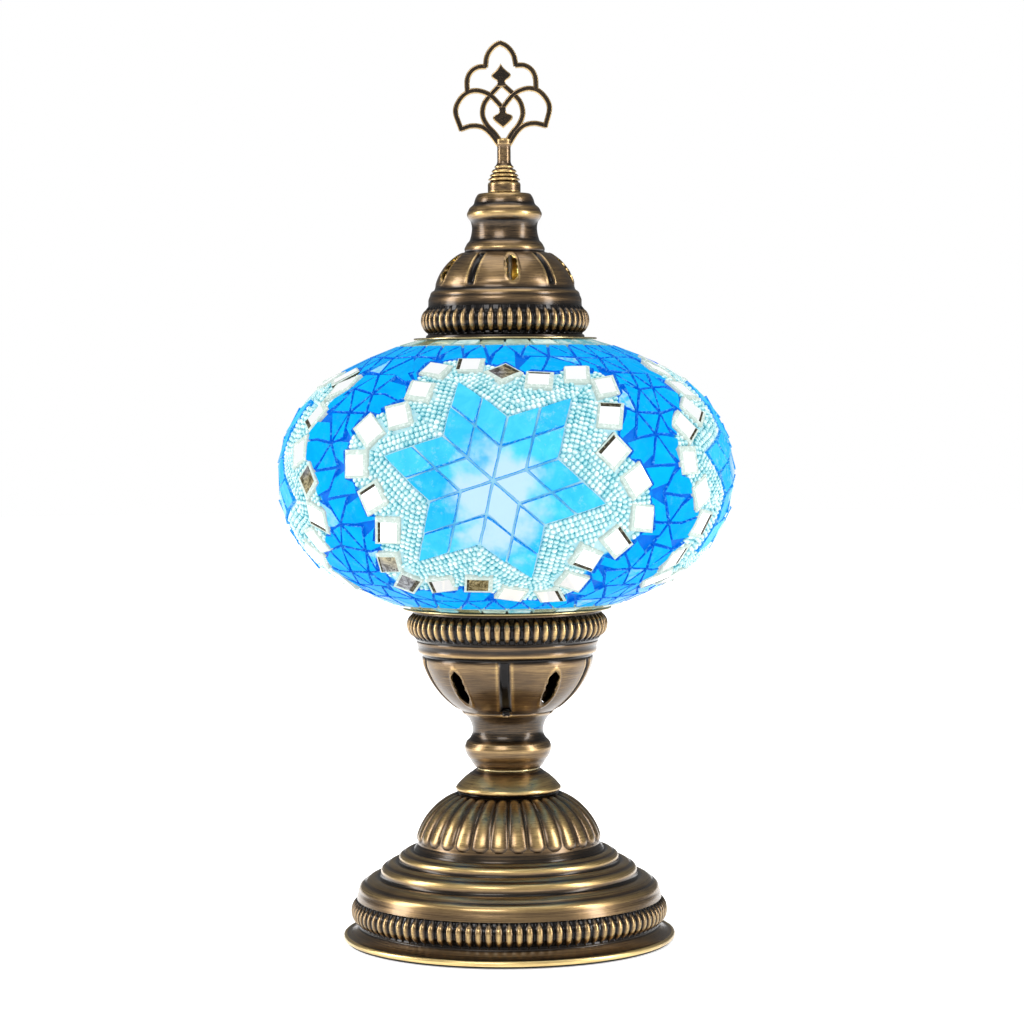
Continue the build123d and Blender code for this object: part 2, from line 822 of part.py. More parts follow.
def bead_prism(number, outline, mode):
    """A block that widens away from the globe's centre and follows a medallion outline."""
    middle = front + medallion_turn + number * 360.0 / medallion_count
    sections = []
    for distance in (near_plane, far_plane):
        with BuildSketch(radial_plane(middle, globe_centre, distance)) as section:
            with BuildLine():
                Polyline(*[seen_from_centre(number, *point, distance) for point in outline], close=True)
            make_face()
        sections.append(section.sketch)
    loft(sections, ruled=True, mode=mode)


def star_outline(margin):
    """The star's twelve corners, pushed out by a margin."""
    outline = []
    for corner in range(2 * star_points):
        direction = math.radians(star_turn + 30.0 * corner)
        reach = star_side * (math.sqrt(3) if corner % 2 == 0 else 1.0)
        reach = reach + margin * (2.0 if corner % 2 == 0 else 1.1)
        across = star_offset[0] + reach * math.cos(direction)
        outline.append((across, star_offset[1] + reach * math.sin(direction)))
    return outline


def lobed_outline():
    """The inner edge of the row of mirrors."""
    outline = []
    for corner in range(36):
        direction = math.radians(star_turn + 10.0 * corner)
        reach = lobed_radius(direction, bead_clear_mirror)
        outline.append((reach * math.cos(direction), reach * math.sin(direction)))
    return outline


for number, side_name in enumerate(("front", "right", "back", "left")):
    with BuildPart() as bead_band:
        bead_prism(number, lobed_outline(), Mode.ADD)
        bead_prism(number, star_outline(bead_clear_star), Mode.SUBTRACT)
        with BuildSketch(Plane.XZ):
            with BuildLine():
                draw_shell(0.1, glass_face - 0.05, bottom_opening, top_opening)
            make_face()
        revolve(axis=Axis.Z, mode=Mode.INTERSECT)
    bead_band.part.label = "bead_band_" + side_name
    export_step(bead_band.part, "parts/bead_band_" + side_name + ".step")

# ---------------------------------------------------------------- upper gallery disc and cap
stud_radius = 3.0
stud_clear = 3.3
with BuildPart() as upper_disc:
    with BuildSketch(Plane.XY.offset(upper_disc_height)):
        Circle(upper_disc_radius)
        Circle(stud_clear, mode=Mode.SUBTRACT)
    extrude(amount=plate)
upper_disc.part.label = "upper_disc"
export_step(upper_disc.part, "parts/upper_disc.step")

cap_stations = [
    (stud_clear, cap_top, 0),
    (10.2, cap_top, 0),
    (12.1, 299.4, 0),
    (13.1, 296.8, 0),
    (13.5, 290.4, 1.8),
    (13.2, 287.5, 0),
    (16.3, 279.2, 0),
    (17.0, 278.0, 0),
    (28.2, 263.2, 1.9),
    (29.2, 262.0, 0),
    (31.0, 256.8, 0),
    (31.2, 255.6, 0),
    (31.6, 245.6, 2.5),
    (32.0, 244.8, 0),
    (32.0, cap_foot, 0),
]
cap_vent = 6.7
with BuildPart() as top_cap:
    revolve(spun_section(cap_stations), axis=Axis.Z)
    for number in range(vent_count):
        vent_angle = front + cap_vent + number * 360.0 / vent_count
        with BuildSketch(radial_plane(vent_angle, 270.8, 12.0)):
            with BuildLine():
                vent_outline(5.0, 10.8)
            make_face()
        extrude(amount=30, mode=Mode.SUBTRACT)
top_cap.part.label = "top_cap"
export_step(top_cap.part, "parts/top_cap.step")

with BuildPart() as cap_spring:
    spring_clip(upper_disc_height - spring_sheet, 9.0, stud_clear, top_opening - 0.5, -13.0)
cap_spring.part.label = "cap_spring"
export_step(cap_spring.part, "parts/cap_spring.step")

cap_washer_height = upper_disc_height - spring_sheet - 1.0
with BuildPart() as cap_washer:
    with BuildSketch(Plane.XY.offset(cap_washer_height)):
        Circle(6.0)
        Circle(stud_radius, mode=Mode.SUBTRACT)
    extrude(amount=1.0)
cap_washer.part.label = "cap_washer"
export_step(cap_washer.part, "parts/cap_washer.step")

cap_nut_thickness = 5.0
with BuildPart() as cap_nut:
    add(hexagon_nut(cap_washer_height - cap_nut_thickness, 10.0, stud_radius))
    extrude(amount=cap_nut_thickness)
cap_nut.part.label = "cap_nut"
export_step(cap_nut.part, "parts/cap_nut.step")

stud_top = 308.0
with BuildPart() as cap_stud:
    with BuildSketch(Plane.XY.offset(cap_washer_height - cap_nut_thickness - 1.5)):
        Circle(stud_radius)
    extrude(amount=stud_top - cap_washer_height + cap_nut_thickness + 1.5)
    chamfer(cap_stud.edges().sort_by(Axis.Z)[-1], 0.6)
cap_stud.part.label = "cap_stud"
export_step(cap_stud.part, "parts/cap_stud.step")

# ---------------------------------------------------------------- finial
finial_stations = [
    (2.7, stem_of_finial + 1.2, 0),
    (2.7, 314.4, 0),
    (3.9, 312.0, 0.2),
    (3.7, 311.3, 0),
    (4.8, 310.6, 0.2),
    (4.6, 309.6, 0.2),
    (5.6, 308.9, 0.2),
    (5.4, 308.0, 0.2),
    (6.2, 307.3, 0.2),
    (5.9, 306.3, 0.3),
    (6.6, 305.8, 0),
    (6.6, finial_foot, 0),
]
lean = math.radians(finial_lean)
finial_plane = Plane(
    origin=(0, 0, stem_of_finial), x_dir=(math.cos(lean), 0, math.sin(lean)), z_dir=(0, -1, 0)
)
# Bars of the right half, as points from the shank's top.
crown_bar = [(0, 39.5), (3.9, 37.6), (5.7, 34.9), (6.3, 30.4)]
shoulder_bar = [(6.3, 30.4), (9.4, 30.2), (12.2, 28.4), (13.7, 25.2), (13.8, 20.6)]
wing_bar = [(0, 13.6), (4.7, 18.8), (9.8, 20.9), (14.2, 20.1), (17.4, 17.0), (18.9, 12.6), (17.0, 5.8)]
arch_bar = [(17.0, 5.8), (12.7, 6.9), (8.5, 6.2), (5.3, 3.6), (2.2, -0.8)]
petal_bar = [(0, 23.4), (4.7, 18.8), (7.3, 15.4), (8.1, 11.0), (6.5, 7.0), (3.6, 3.6), (1.2, 0.0)]
upper_spade = [(0, 31.2), (2.1, 28.6), (3.8, 26.8), (3.2, 25.4), (1.9, 24.6), (1.5, 23.0), (0, 22.4)]
lower_spade = [(0, 5.7), (2.1, 7.6), (3.9, 9.4), (3.3, 10.8), (1.8, 11.2), (1.4, 13.0), (0, 14.4)]

with BuildPart() as finial:
    with BuildSketch(finial_plane) as openwork:
        for bar in (crown_bar, shoulder_bar, wing_bar, arch_bar, petal_bar):
            with BuildLine():
                Spline(*bar)
            trace(line_width=finial_bar)
        for spade in (upper_spade, lower_spade):
            with BuildLine():
                Polyline(*spade, close=True)
            make_face()
        mirror(about=Plane.YZ)
    extrude(amount=finial_plate / 2, both=True)
    with BuildSketch(Plane.XZ):
        with BuildLine():
            spun_outline(finial_stations)
            Line((6.6, finial_foot), (0, finial_foot))
            Line((0, finial_foot), (0, stem_of_finial + 1.2))
            Line((0, stem_of_finial + 1.2), (2.7, stem_of_finial + 1.2))
        make_face()
    revolve(axis=Axis.Z)
    with BuildSketch(Plane.XY.offset(finial_foot)):
        Circle(stud_radius + 0.05)
    extrude(amount=stud_top + 0.5 - finial_foot, mode=Mode.SUBTRACT)
finial.part.label = "finial"
export_step(finial.part, "parts/finial.step")
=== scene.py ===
import random
from math import atan2, ceil, copysign, cos, degrees, dist, exp, hypot, pi, radians, sin, sqrt

import bmesh
import bpy
import numpy as np
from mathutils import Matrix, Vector
from mathutils.kdtree import KDTree


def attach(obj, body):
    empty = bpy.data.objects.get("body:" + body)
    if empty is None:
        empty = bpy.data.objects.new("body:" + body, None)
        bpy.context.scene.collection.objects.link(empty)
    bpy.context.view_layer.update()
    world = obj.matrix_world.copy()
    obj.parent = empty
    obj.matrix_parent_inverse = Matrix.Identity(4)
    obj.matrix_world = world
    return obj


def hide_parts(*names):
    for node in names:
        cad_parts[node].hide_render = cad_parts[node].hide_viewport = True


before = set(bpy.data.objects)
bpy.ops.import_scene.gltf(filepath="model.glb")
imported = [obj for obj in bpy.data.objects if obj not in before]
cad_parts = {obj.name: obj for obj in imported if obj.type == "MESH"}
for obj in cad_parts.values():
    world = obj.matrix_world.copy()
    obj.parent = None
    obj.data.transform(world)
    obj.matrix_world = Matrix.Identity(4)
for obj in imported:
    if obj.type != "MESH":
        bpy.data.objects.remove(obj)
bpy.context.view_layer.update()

MM = 0.001
scene = bpy.context.scene
scene.view_settings.view_transform = "Standard"

# ---------------------------------------------------------------- driving dimensions, in millimetres
FRONT = -90.0                       # polar angle of the lamp's front
GLOBE_CENTRE = 187.9
EQUATOR_ARC = 47.8
POLAR_ARC = 137.7
TANGENT = radians(60.8)
AXIS_OFFSET = (POLAR_ARC - EQUATOR_ARC) * cos(TANGENT)
POLAR_DROP = (POLAR_ARC - EQUATOR_ARC) * sin(TANGENT)
TILE = 2.2                          # thickness of the mosaic tiles
MEDALLION_TURN = -2.0
STAR_TURN = 48.0
STAR_SIDE = 26.0
STAR_OFFSET = (-1.5, 1.0)
MIRROR_RING = 53.3
MIRROR_WAVE = 6.7
BEAD_EDGE = 4.4                     # the beads stop this far outside the ring of mirrors
BEAD_ROWS = 9                       # rows of beads that echo the star
BEAD_FIRST_ROW = 1.45               # from the star's edge
BEAD_ROW_PITCH = 2.2
BEAD_SPACING = 1.95
BEAD_DEPTH = 1.15                   # of the beads' middles below the tiles' faces
GROUT_DEPTH = 1.25                  # of the grout's face below the tiles' faces
GROUT_SPAN = (-79.0, 85.5)          # arc lengths of the grout's lower and upper edge
TILE_FOOT = -TILE + 0.15            # height of a tile's lowest corners against its face
WALL = 1.0                          # of the spun shells
FLANGE_RADIUS = 61.3                # the foot's flange has an even brown patina
RIM_RADIUS = 66.0                   # and its outer rim is rubbed bright
VENTS = 5
FINIAL_FOOT = 322.2                 # the openwork starts here, on top of the shank
FINIAL_LEAN = 2.0                   # degrees to the left
CUP_VENT = MEDALLION_TURN + 36.0    # from the front, in degrees
CAP_VENT = 6.7
CAP_LIGHT = 266.0                   # the light that shows in the cap's vents
GLOW_HEIGHT = 181.5                 # centre of the pale patch that the bulb makes in each medallion


# ---------------------------------------------------------------- camera and studio
def place_object(name, data, location=(0.0, 0.0, 0.0)):
    made = bpy.data.objects.new(name, data)
    made.location = location
    scene.collection.objects.link(made)
    return made


def softbox(name, azimuth, distance, height, size, strength):
    """A rectangular light, out of the camera's sight, that faces the middle of the lamp."""
    light = bpy.data.lights.new(name, "AREA")
    light.shape = "RECTANGLE"
    light.size, light.size_y = size
    light.energy = strength
    turn = radians(FRONT + azimuth)
    box = place_object(name, light, (distance * cos(turn), distance * sin(turn), height))
    box.rotation_euler = (Vector((0, 0, 0.17)) - box.location).to_track_quat("-Z", "Y").to_euler()
    box.visible_camera = False


def studio():
    """Camera where the lamp is seen slightly from above, a white sweep and soft side lights."""
    camera_data = bpy.data.cameras.new("camera")
    camera_data.lens = 104.2
    camera_data.sensor_width = 36.0
    camera = place_object("camera", camera_data, (0.0026, -1.198, 0.2252))
    camera.rotation_euler = (radians(90 - 2.488), radians(0.4), 0.0)
    scene.camera = camera

    bm = bmesh.new()
    bmesh.ops.create_circle(bm, cap_ends=True, radius=4.0, segments=96)
    floor_mesh = bpy.data.meshes.new("studio_floor")
    bm.to_mesh(floor_mesh)
    bm.free()
    floor = place_object("studio_floor", floor_mesh, (0, 0, -0.0004))
    white = Look("studio_white", 0.6)
    white.set("Base Color", (0.92, 0.92, 0.92, 1.0))
    white.set("Emission Color", (1.0, 1.0, 1.0, 1.0))
    away = white.far(white.axes[0], white.axes[1])
    white.set("Emission Strength", white.span(away, 80.0, 420.0, 0.55, 1.0))
    floor_mesh.materials.append(white.material)

    softbox("left_softbox", -88.0, 1.3, 0.45, (0.4, 1.2), 16.0)
    softbox("right_softbox", 68.0, 1.3, 0.5, (0.3, 1.2), 15.0)
    softbox("front_softbox", -20.0, 2.2, 1.6, (1.2, 0.8), 26.0)
    softbox("top_softbox", 0.0, 0.01, 1.7, (1.4, 1.4), 14.0)
    inside = bpy.data.lights.new("cap_glow", "POINT")
    inside.energy = 0.20
    inside.color = (0.92, 0.86, 0.30)
    inside.shadow_soft_size = 0.004
    place_object("cap_glow", inside, (0.0, 0.0, CAP_LIGHT * MM))

    world = bpy.data.worlds.new("studio")
    scene.world = world
    world.use_nodes = True
    tree = world.node_tree
    tree.nodes.clear()
    split = add_node(tree, "SeparateXYZ", {0: add_node(tree, "TexCoord").outputs["Generated"]})
    behind = add_node(tree, "MapRange", {"Value": split.outputs["Y"], "From Min": -0.9, "From Max": 0.7,
                                         "To Min": 0.85, "To Max": 0.22})
    room = add_node(tree, "Background", {"Strength": behind.outputs[0]})
    backdrop = add_node(tree, "Background", {"Color": (1.0, 1.0, 1.0, 1.0), "Strength": 1.0})
    seen = add_node(tree, "LightPath").outputs["Is Camera Ray"]
    mix = add_node(tree, "MixShader", {0: seen, 1: room.outputs[0], 2: backdrop.outputs[0]})
    add_node(tree, "OutputWorld", {0: mix.outputs[0]})


# ---------------------------------------------------------------- materials
def add_node(tree, kind, inputs=None, **settings):
    """A shader node whose inputs, given by name or number, are linked to a socket or set to a value."""
    made = tree.nodes.new("ShaderNode" + kind)
    for name, value in settings.items():
        setattr(made, name, value)
    for place, value in (inputs or {}).items():
        feed(tree, made.inputs[place], value)
    return made


def feed(tree, target, value):
    """Link an input to a socket, or set it to a plain value."""
    if isinstance(value, bpy.types.NodeSocket):
        tree.links.new(value, target)
    else:
        target.default_value = value


class Look:
    """A material with one Principled shader and a few short ways to feed it.

    place holds the object coordinates in millimetres, and axes holds them as three separate sockets.
    """

    def __init__(self, name, roughness=None, ior=None):
        self.material = bpy.data.materials.new(name)
        self.material.use_nodes = True
        self.tree = self.material.node_tree
        self.shader = self.tree.nodes["Principled BSDF"]
        metres = self.node("TexCoord").outputs["Object"]
        self.place = self.node("VectorMath", {0: metres, "Scale": 1 / MM}, operation="SCALE").outputs[0]
        self.axes = self.node("SeparateXYZ", {0: self.place}).outputs
        if roughness is not None:
            self.set("Roughness", roughness)
        if ior is not None:
            self.set("IOR", ior)

    def set(self, socket, value):
        feed(self.tree, self.shader.inputs[socket], value)

    def node(self, kind, inputs=None, **settings):
        return add_node(self.tree, kind, inputs, **settings)

    def math(self, operation, first, second=0.0, third=0.0):
        return self.node("Math", {0: first, 1: second, 2: third}, operation=operation).outputs[0]

    def plus(self, first, second):
        return self.math("ADD", first, second)

    def times(self, first, second):
        return self.math("MULTIPLY", first, second)

    def far(self, first, second):
        """Distance that two sockets at right angles make together."""
        square = self.plus(self.math("POWER", first, 2.0), self.math("POWER", second, 2.0))
        return self.math("SQRT", square)

    def attribute(self, name):
        return self.node("Attribute", attribute_name=name).outputs["Fac"]

    def noise(self, scale, detail=3.0, rough=0.5, distortion=0.0, vector=None):
        inputs = {"Scale": scale, "Detail": detail, "Roughness": rough, "Distortion": distortion}
        return self.node("TexNoise", {"Vector": vector or self.place, **inputs}).outputs["Fac"]

    def ramp(self, value, stops):
        made = self.node("ValToRGB", {0: value})
        while len(made.color_ramp.elements) < len(stops):
            made.color_ramp.elements.new(0.5)
        for element, (place, colour) in zip(made.color_ramp.elements, stops):
            element.position = place
            element.color = (*colour, 1.0)
        return made.outputs[0]

    def mix(self, factor, first, second):
        first, second = [(*value, 1.0) if isinstance(value, tuple) else value for value in (first, second)]
        return self.node("Mix", {0: factor, 6: first, 7: second}, data_type="RGBA").outputs[2]

    def span(self, value, low, high, to_low=0.0, to_high=1.0, smooth=False):
        kind = "SMOOTHSTEP" if smooth else "LINEAR"
        inputs = {0: value, 1: low, 2: high, 3: to_low, 4: to_high}
        return self.node("MapRange", inputs, interpolation_type=kind).outputs[0]

    def vary(self, noise, low, high):
        """The middle of a noise's range, where nearly all of it lies, spread from low to high."""
        return self.span(noise, 0.3, 0.7, low, high)

    def lit_by(self, colour, glow, body):
        """A glow in the colour: light that comes through the glass, or on the mirrors a painted reflection;
        and a share of the same colour as its body.
        """
        self.set("Emission Color", colour)
        self.set("Emission Strength", glow)
        self.set("Base Color", self.mix(body, (0.0, 0.0, 0.0), colour))

    def heart(self):
        """1 where the bulb shines straight through a medallion, falling to 0 round it."""
        axes = self.axes
        turn = self.math("SUBTRACT", self.math("ARCTAN2", axes[1], axes[0]), medallion_middle(0))
        turn = self.math("WRAP", turn, pi / 4, -pi / 4)
        across = self.times(turn, self.far(axes[0], axes[1]))
        up = self.times(self.math("SUBTRACT", axes[2], GLOW_HEIGHT), 0.78)
        ragged = self.vary(self.noise(0.09, 3.0, 0.6), -5.0, 5.0)
        return self.span(self.plus(self.far(across, up), ragged), 21.0, 9.5, smooth=True)

    def bump(self, height, depth, strength):
        """The material, in relief where a height from 0 to 1 stands depth millimetres proud."""
        made = self.node("Bump", {"Strength": strength, "Distance": depth * MM, "Height": height})
        self.set("Normal", made.outputs[0])
        return self.material

    def grain(self, cross_scale):
        """Fine streaks that run round the lamp's axis, as a brushed turning has."""
        angle = self.math("ARCTAN2", self.axes[1], self.axes[0])
        joined = self.node("CombineXYZ", {
            0: self.times(angle, 2.2),
            1: self.times(self.axes[2], cross_scale),
            2: self.times(self.far(self.axes[0], self.axes[1]), cross_scale),
        })
        return self.noise(1.0, 4.0, 0.65, vector=joined.outputs[0])


BRASS_STOPS = [
    (0.0, (0.004, 0.003, 0.003)),
    (0.22, (0.022, 0.016, 0.011)),
    (0.45, (0.114, 0.072, 0.037)),
    (0.62, (0.242, 0.157, 0.070)),
    (0.80, (0.465, 0.320, 0.127)),
    (1.0, (0.800, 0.600, 0.255)),
]


def antique_brass(name="antique_brass", lift=0.0):
    """Dark patina in the recesses, rubbed bright on the crests, brushed round the turnings."""
    look = Look(name)
    grain = look.grain(3.2)
    wear = look.plus(look.attribute("wear"), look.vary(grain, -0.13 + lift, 0.13 + lift))
    wear = look.plus(wear, look.vary(look.noise(0.05, 4.0, 0.6), -0.06, 0.06))
    look.set("Base Color", look.ramp(wear, BRASS_STOPS))
    look.set("Metallic", 1.0)
    look.set("Coat Weight", 0.35)
    look.set("Coat Roughness", 0.16)
    look.set("Roughness", look.span(grain, 0.25, 0.75, 0.24, 0.38))
    return look.bump(grain, 0.03, 0.35)


def plain_metal(name, colour, roughness):
    """Turned or stamped metal with a faint brushed grain."""
    look = Look(name)
    grain = look.grain(2.0)
    stain = look.noise(0.15, 4.0, 0.6)
    shade = look.times(look.vary(grain, 0.8, 1.0), look.vary(stain, 0.85, 1.0))
    look.set("Base Color", look.mix(shade, (0.0, 0.0, 0.0), colour))
    look.set("Metallic", 1.0)
    look.set("Roughness", look.vary(grain, roughness * 0.8, roughness * 1.2))
    return look.bump(grain, 0.02, 0.3)


def speckled(name, dark, light, roughness, scale, depth):
    """A non-metal with a fine grain: felt, rubber, board, cast iron or plastic."""
    look = Look(name)
    grain = look.noise(scale, 5.0, 0.7)
    look.set("Base Color", look.mix(look.vary(grain, 0.0, 1.0), dark, light))
    look.set("Roughness", look.vary(grain, roughness, min(1.0, roughness * 1.25)))
    return look.bump(grain, depth, 0.6)


HEART_COLOUR = (0.50, 0.70, 0.86)    # the lit bulb seen through the glass


def lit_glass(name, deep, light, mottle, mottle_amount):
    """Cathedral glass with the lamp's light in it: streaky colour, pale mottling, a pale centre."""
    look = Look(name, 0.12, 1.04)
    shade = look.attribute("shade")
    tone = look.plus(look.vary(look.noise(0.10, 4.0, 0.6, 1.2), -0.25, 0.25), shade)
    colour = look.mix(look.span(tone, 0.0, 1.0), deep, light)
    spots = look.noise(0.28, 5.0, 0.75)
    pale = look.times(look.span(spots, 0.52, 0.72), look.span(look.noise(0.06, 2.0), 0.4, 0.62))
    colour = look.mix(look.times(pale, mottle_amount), colour, mottle)
    frosty = look.times(look.span(shade, 1.0, 1.2, 0.0, 0.9), look.span(spots, 0.40, 0.56, 0.1, 1.0))
    colour = look.mix(frosty, colour, mottle)
    colour = look.mix(look.times(look.heart(), 0.92), colour, HEART_COLOUR)
    look.lit_by(colour, 0.62, 0.34)
    return look.bump(look.noise(0.16), 0.5, 0.5)


def collar_glass():
    """Narrow strips of pale green, olive and teal glass next to the brass."""
    look = Look("collar_glass", 0.15)
    tone = look.plus(look.attribute("shade"), look.vary(look.noise(0.15, 4.0, 0.6), -0.15, 0.15))
    colour = look.ramp(tone, [
        (0.0, (0.12, 0.13, 0.06)),
        (0.35, (0.22, 0.28, 0.20)),
        (0.60, (0.42, 0.60, 0.54)),
        (0.85, (0.64, 0.80, 0.76)),
        (1.0, (0.10, 0.42, 0.52)),
    ])
    look.lit_by(colour, 0.45, 0.5)
    return look.bump(look.noise(0.16), 0.5, 0.5)


def glass_edge(name, colour, light, glow=0.6):
    """The cut sides of a tile, where the colour is deepest."""
    look = Look(name, 0.25, 1.12)
    chips = look.noise(0.7, 4.0, 0.7)
    look.lit_by(look.mix(look.span(chips, 0.50, 0.72), colour, light), glow, 0.4)
    return look.bump(chips, 0.15, 0.5)


def bead_glass():
    """Pale aqua seed beads with painted shade and highlight: teal down between the rows, pale on top."""
    look = Look("bead_glass", 0.08)
    tone = look.plus(look.attribute("shade"), look.vary(look.noise(0.25), -0.18, 0.18))
    # painted shade and highlight: low values are the teal shade low on each bead, high values its pale top
    colour = look.ramp(tone, [
        (0.0, (0.01, 0.22, 0.34)),
        (0.35, (0.06, 0.42, 0.52)),
        (0.60, (0.34, 0.70, 0.75)),
        (0.85, (0.66, 0.88, 0.89)),
        (1.0, (0.90, 0.98, 0.97)),
    ])
    look.lit_by(colour, 0.52, 0.36)
    return look.material


def grout_look():
    """Clear grout over the glass: deep blue in the field, pale round the beads and mirrors."""
    look = Look("clear_grout", 0.3, 1.1)
    lumps = look.noise(0.35, 4.0, 0.7)
    colour = look.ramp(look.plus(look.attribute("zone"), look.vary(lumps, -0.12, 0.12)), [
        (0.0, (0.0, 0.15, 0.72)),
        (0.30, (0.0, 0.27, 0.82)),
        (0.55, (0.14, 0.56, 0.78)),
        (0.85, (0.52, 0.80, 0.84)),
        (1.0, (0.78, 0.92, 0.92)),
    ])
    colour = look.mix(look.times(look.heart(), 0.75), colour, (0.40, 0.78, 0.90))
    look.lit_by(colour, 0.60, 0.34)
    return look.bump(lumps, 0.4, 0.6)


def mirror_metal():
    """Silvered glass that gives back the white room, its reflection partly painted in as a white glow."""
    look = Look("mirror_silver")
    specks = look.noise(0.5, 5.0, 0.8)
    # painted reflection: this glow paints in the white room seen in the mirror
    look.lit_by(look.mix(look.span(specks, 0.68, 0.80), (0.93, 0.95, 0.96), (0.45, 0.46, 0.46)), 0.92, 0.55)
    look.set("Metallic", 1.0)
    look.set("Roughness", look.span(specks, 0.3, 0.8, 0.03, 0.10))
    return look.material


def painted_reflection_mirror():
    """A mirror with a painted reflection of something darker: streaks of olive, grey and near black."""
    look = Look("mirror_painted_reflection", 0.18)
    streaks = look.noise(0.22, 3.0, 0.6, 2.5)
    warmth = look.span(look.noise(0.03, 2.0), 0.45, 0.55)
    dark = look.mix(warmth, (0.05, 0.05, 0.055), (0.09, 0.075, 0.03))
    light = look.mix(warmth, (0.30, 0.31, 0.33), (0.50, 0.43, 0.24))
    # painted reflection: the streaks glow in place of the darker things that the mirror faces
    look.lit_by(look.mix(look.span(streaks, 0.40, 0.62), dark, light), 0.3, 0.6)
    look.set("Metallic", 0.6)
    return look.bump(streaks, 0.3, 0.6)


def frosted_bulb():
    """A bulb's frosted glass, softly lit."""
    look = Look("frosted_glass", 0.45)
    frost = look.noise(2.0)
    look.set("Base Color", look.mix(frost, (0.48, 0.45, 0.40), (0.58, 0.55, 0.50)))
    look.set("Emission Color", (1.0, 0.86, 0.62, 1.0))
    look.set("Emission Strength", 0.45)
    return look.bump(frost, 0.02, 0.3)


# ---------------------------------------------------------------- mesh helpers
def new_piece(name, vertices, faces, materials, body, node, slot, smooth_angle=None):
    """Link a mesh given in millimetres as a piece of the lamp."""
    mesh = bpy.data.meshes.new(name)
    mesh.from_pydata([tuple(c * MM for c in v) for v in vertices], [], faces)
    mesh.update()
    piece = place_object(name, mesh)
    for material in materials:
        mesh.materials.append(material)
    if smooth_angle is not None:
        mesh.shade_smooth()
        mesh.set_sharp_from_angle(angle=radians(smooth_angle))
    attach(piece, body)
    if node:
        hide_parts(node)
    return piece


def store(mesh, name, values, domain="POINT"):
    """Store one number per vertex or per face for the materials to read."""
    layer = mesh.attributes.new(name, "FLOAT", domain)
    layer.data.foreach_set("value", np.asarray(values, np.float32))


def face_outward(mesh):
    """Turn every face of a closed mesh outward."""
    bm = bmesh.new()
    bm.from_mesh(mesh)
    bmesh.ops.recalc_face_normals(bm, faces=bm.faces)
    bm.to_mesh(mesh)
    bm.free()


def ring_faces(start, rings, count, flip=False):
    """Quads between rings of count vertices each, which follow one another from start."""
    faces = []
    for low in range(start, start + (rings - 1) * count, count):
        for a, b in zip(range(low, low + count), [*range(low + 1, low + count), low]):
            faces.append((a, a + count, b + count, b) if flip else (a, b, b + count, a + count))
    return faces


def shifted(faces, start):
    return [tuple(i + start for i in face) for face in faces]


def tree_of(points):
    """A lookup that finds the nearest of many points."""
    tree = KDTree(len(points))
    for index, point in enumerate(points):
        tree.insert(point, index)
    tree.balance()
    return tree


def unit(vector):
    return vector / np.linalg.norm(vector)


def toward(angle):
    return np.array((cos(angle), sin(angle)))


def profile(stations, spacing):
    """Points (radius, height) along a spun outline given as (radius, height, bulge) stations."""
    points = [np.array(stations[0][:2], float)]
    for upper, lower in zip(stations, stations[1:]):
        start, end = np.array(upper[:2], float), np.array(lower[:2], float)
        chord = end - start
        length = float(np.hypot(*chord))
        steps = max(1, int(ceil(length / spacing)))
        outward = np.array((-chord[1], chord[0])) / length
        bulge = lower[2]
        for step in range(1, steps + 1):
            share = step / steps
            point = start + chord * share
            if bulge:
                radius = (length * length / 4 + bulge * bulge) / (2 * abs(bulge))
                along = (share - 0.5) * length
                lift = sqrt(max(radius * radius - along * along, 0)) - (radius - abs(bulge))
                point = point + outward * lift * copysign(1, bulge)
            points.append(point)
    return np.array(points)


def outward_normals(points):
    """Unit normals of an outline; they point away from the axis where it runs from the top down."""
    run = np.gradient(points, axis=0)
    normals = np.stack([-run[:, 1], run[:, 0]], axis=1)
    return normals / np.linalg.norm(normals, axis=1)[:, None]


def run_lengths(points):
    """Distance along an outline from its start to each point."""
    return np.concatenate([[0], np.cumsum(np.linalg.norm(np.diff(points, axis=0), axis=1))])


def relief_wear(points, normals, reach):
    """How many millimetres each point of an outline stands proud of the outline around it."""
    wear = np.zeros(len(points))
    steps = run_lengths(points)
    for index in range(len(points)):
        near = np.abs(steps - steps[index]) < reach
        weights = 1.0 - np.abs(steps[near] - steps[index]) / reach
        mean = (points[near] * weights[:, None]).sum(0) / weights.sum()
        wear[index] = float(np.dot(points[index] - mean, normals[index]))
    return wear


class Lathe:
    """Collects turned zones, each a ring of quads with its own number of columns, into one mesh."""

    def __init__(self):
        self.vertices = []
        self.faces = []
        self.wear = []

    def zone(self, points, wear, columns, relief=None):
        """Turn an outline; relief(angle, share, radius, height) gives (push outward, added wear)."""
        normals = outward_normals(points)
        self.faces += ring_faces(len(self.vertices), len(points), columns, True)
        for row, (point, normal) in enumerate(zip(points, normals)):
            share = row / (len(points) - 1)
            for column in range(columns):
                angle = 2 * pi * column / columns
                push, extra = relief(angle, share, *point) if relief else (0.0, 0.0)
                radius, height = point + normal * push
                self.vertices.append((radius * cos(angle), radius * sin(angle), height))
                self.wear.append(wear[row] + extra)

    def add(self, vertices, faces, wear):
        """Take in a mesh made elsewhere."""
        self.faces += shifted(faces, len(self.vertices))
        self.vertices += vertices
        self.wear += wear


def sit(material, bevels):
    """Give CAD nodes their material and, where they have crisp edges, a small bevel."""
    for node, bevel in bevels.items():
        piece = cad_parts[node]
        piece.data.materials.clear()
        piece.data.materials.append(material)
        if bevel:
            piece.modifiers.new("weld", "WELD").merge_threshold = 1e-6
            edge = piece.modifiers.new("bevel", "BEVEL")
            edge.width = bevel * MM
            edge.segments = 2
            edge.limit_method = "ANGLE"
            edge.angle_limit = radians(40)
            edge.harden_normals = True


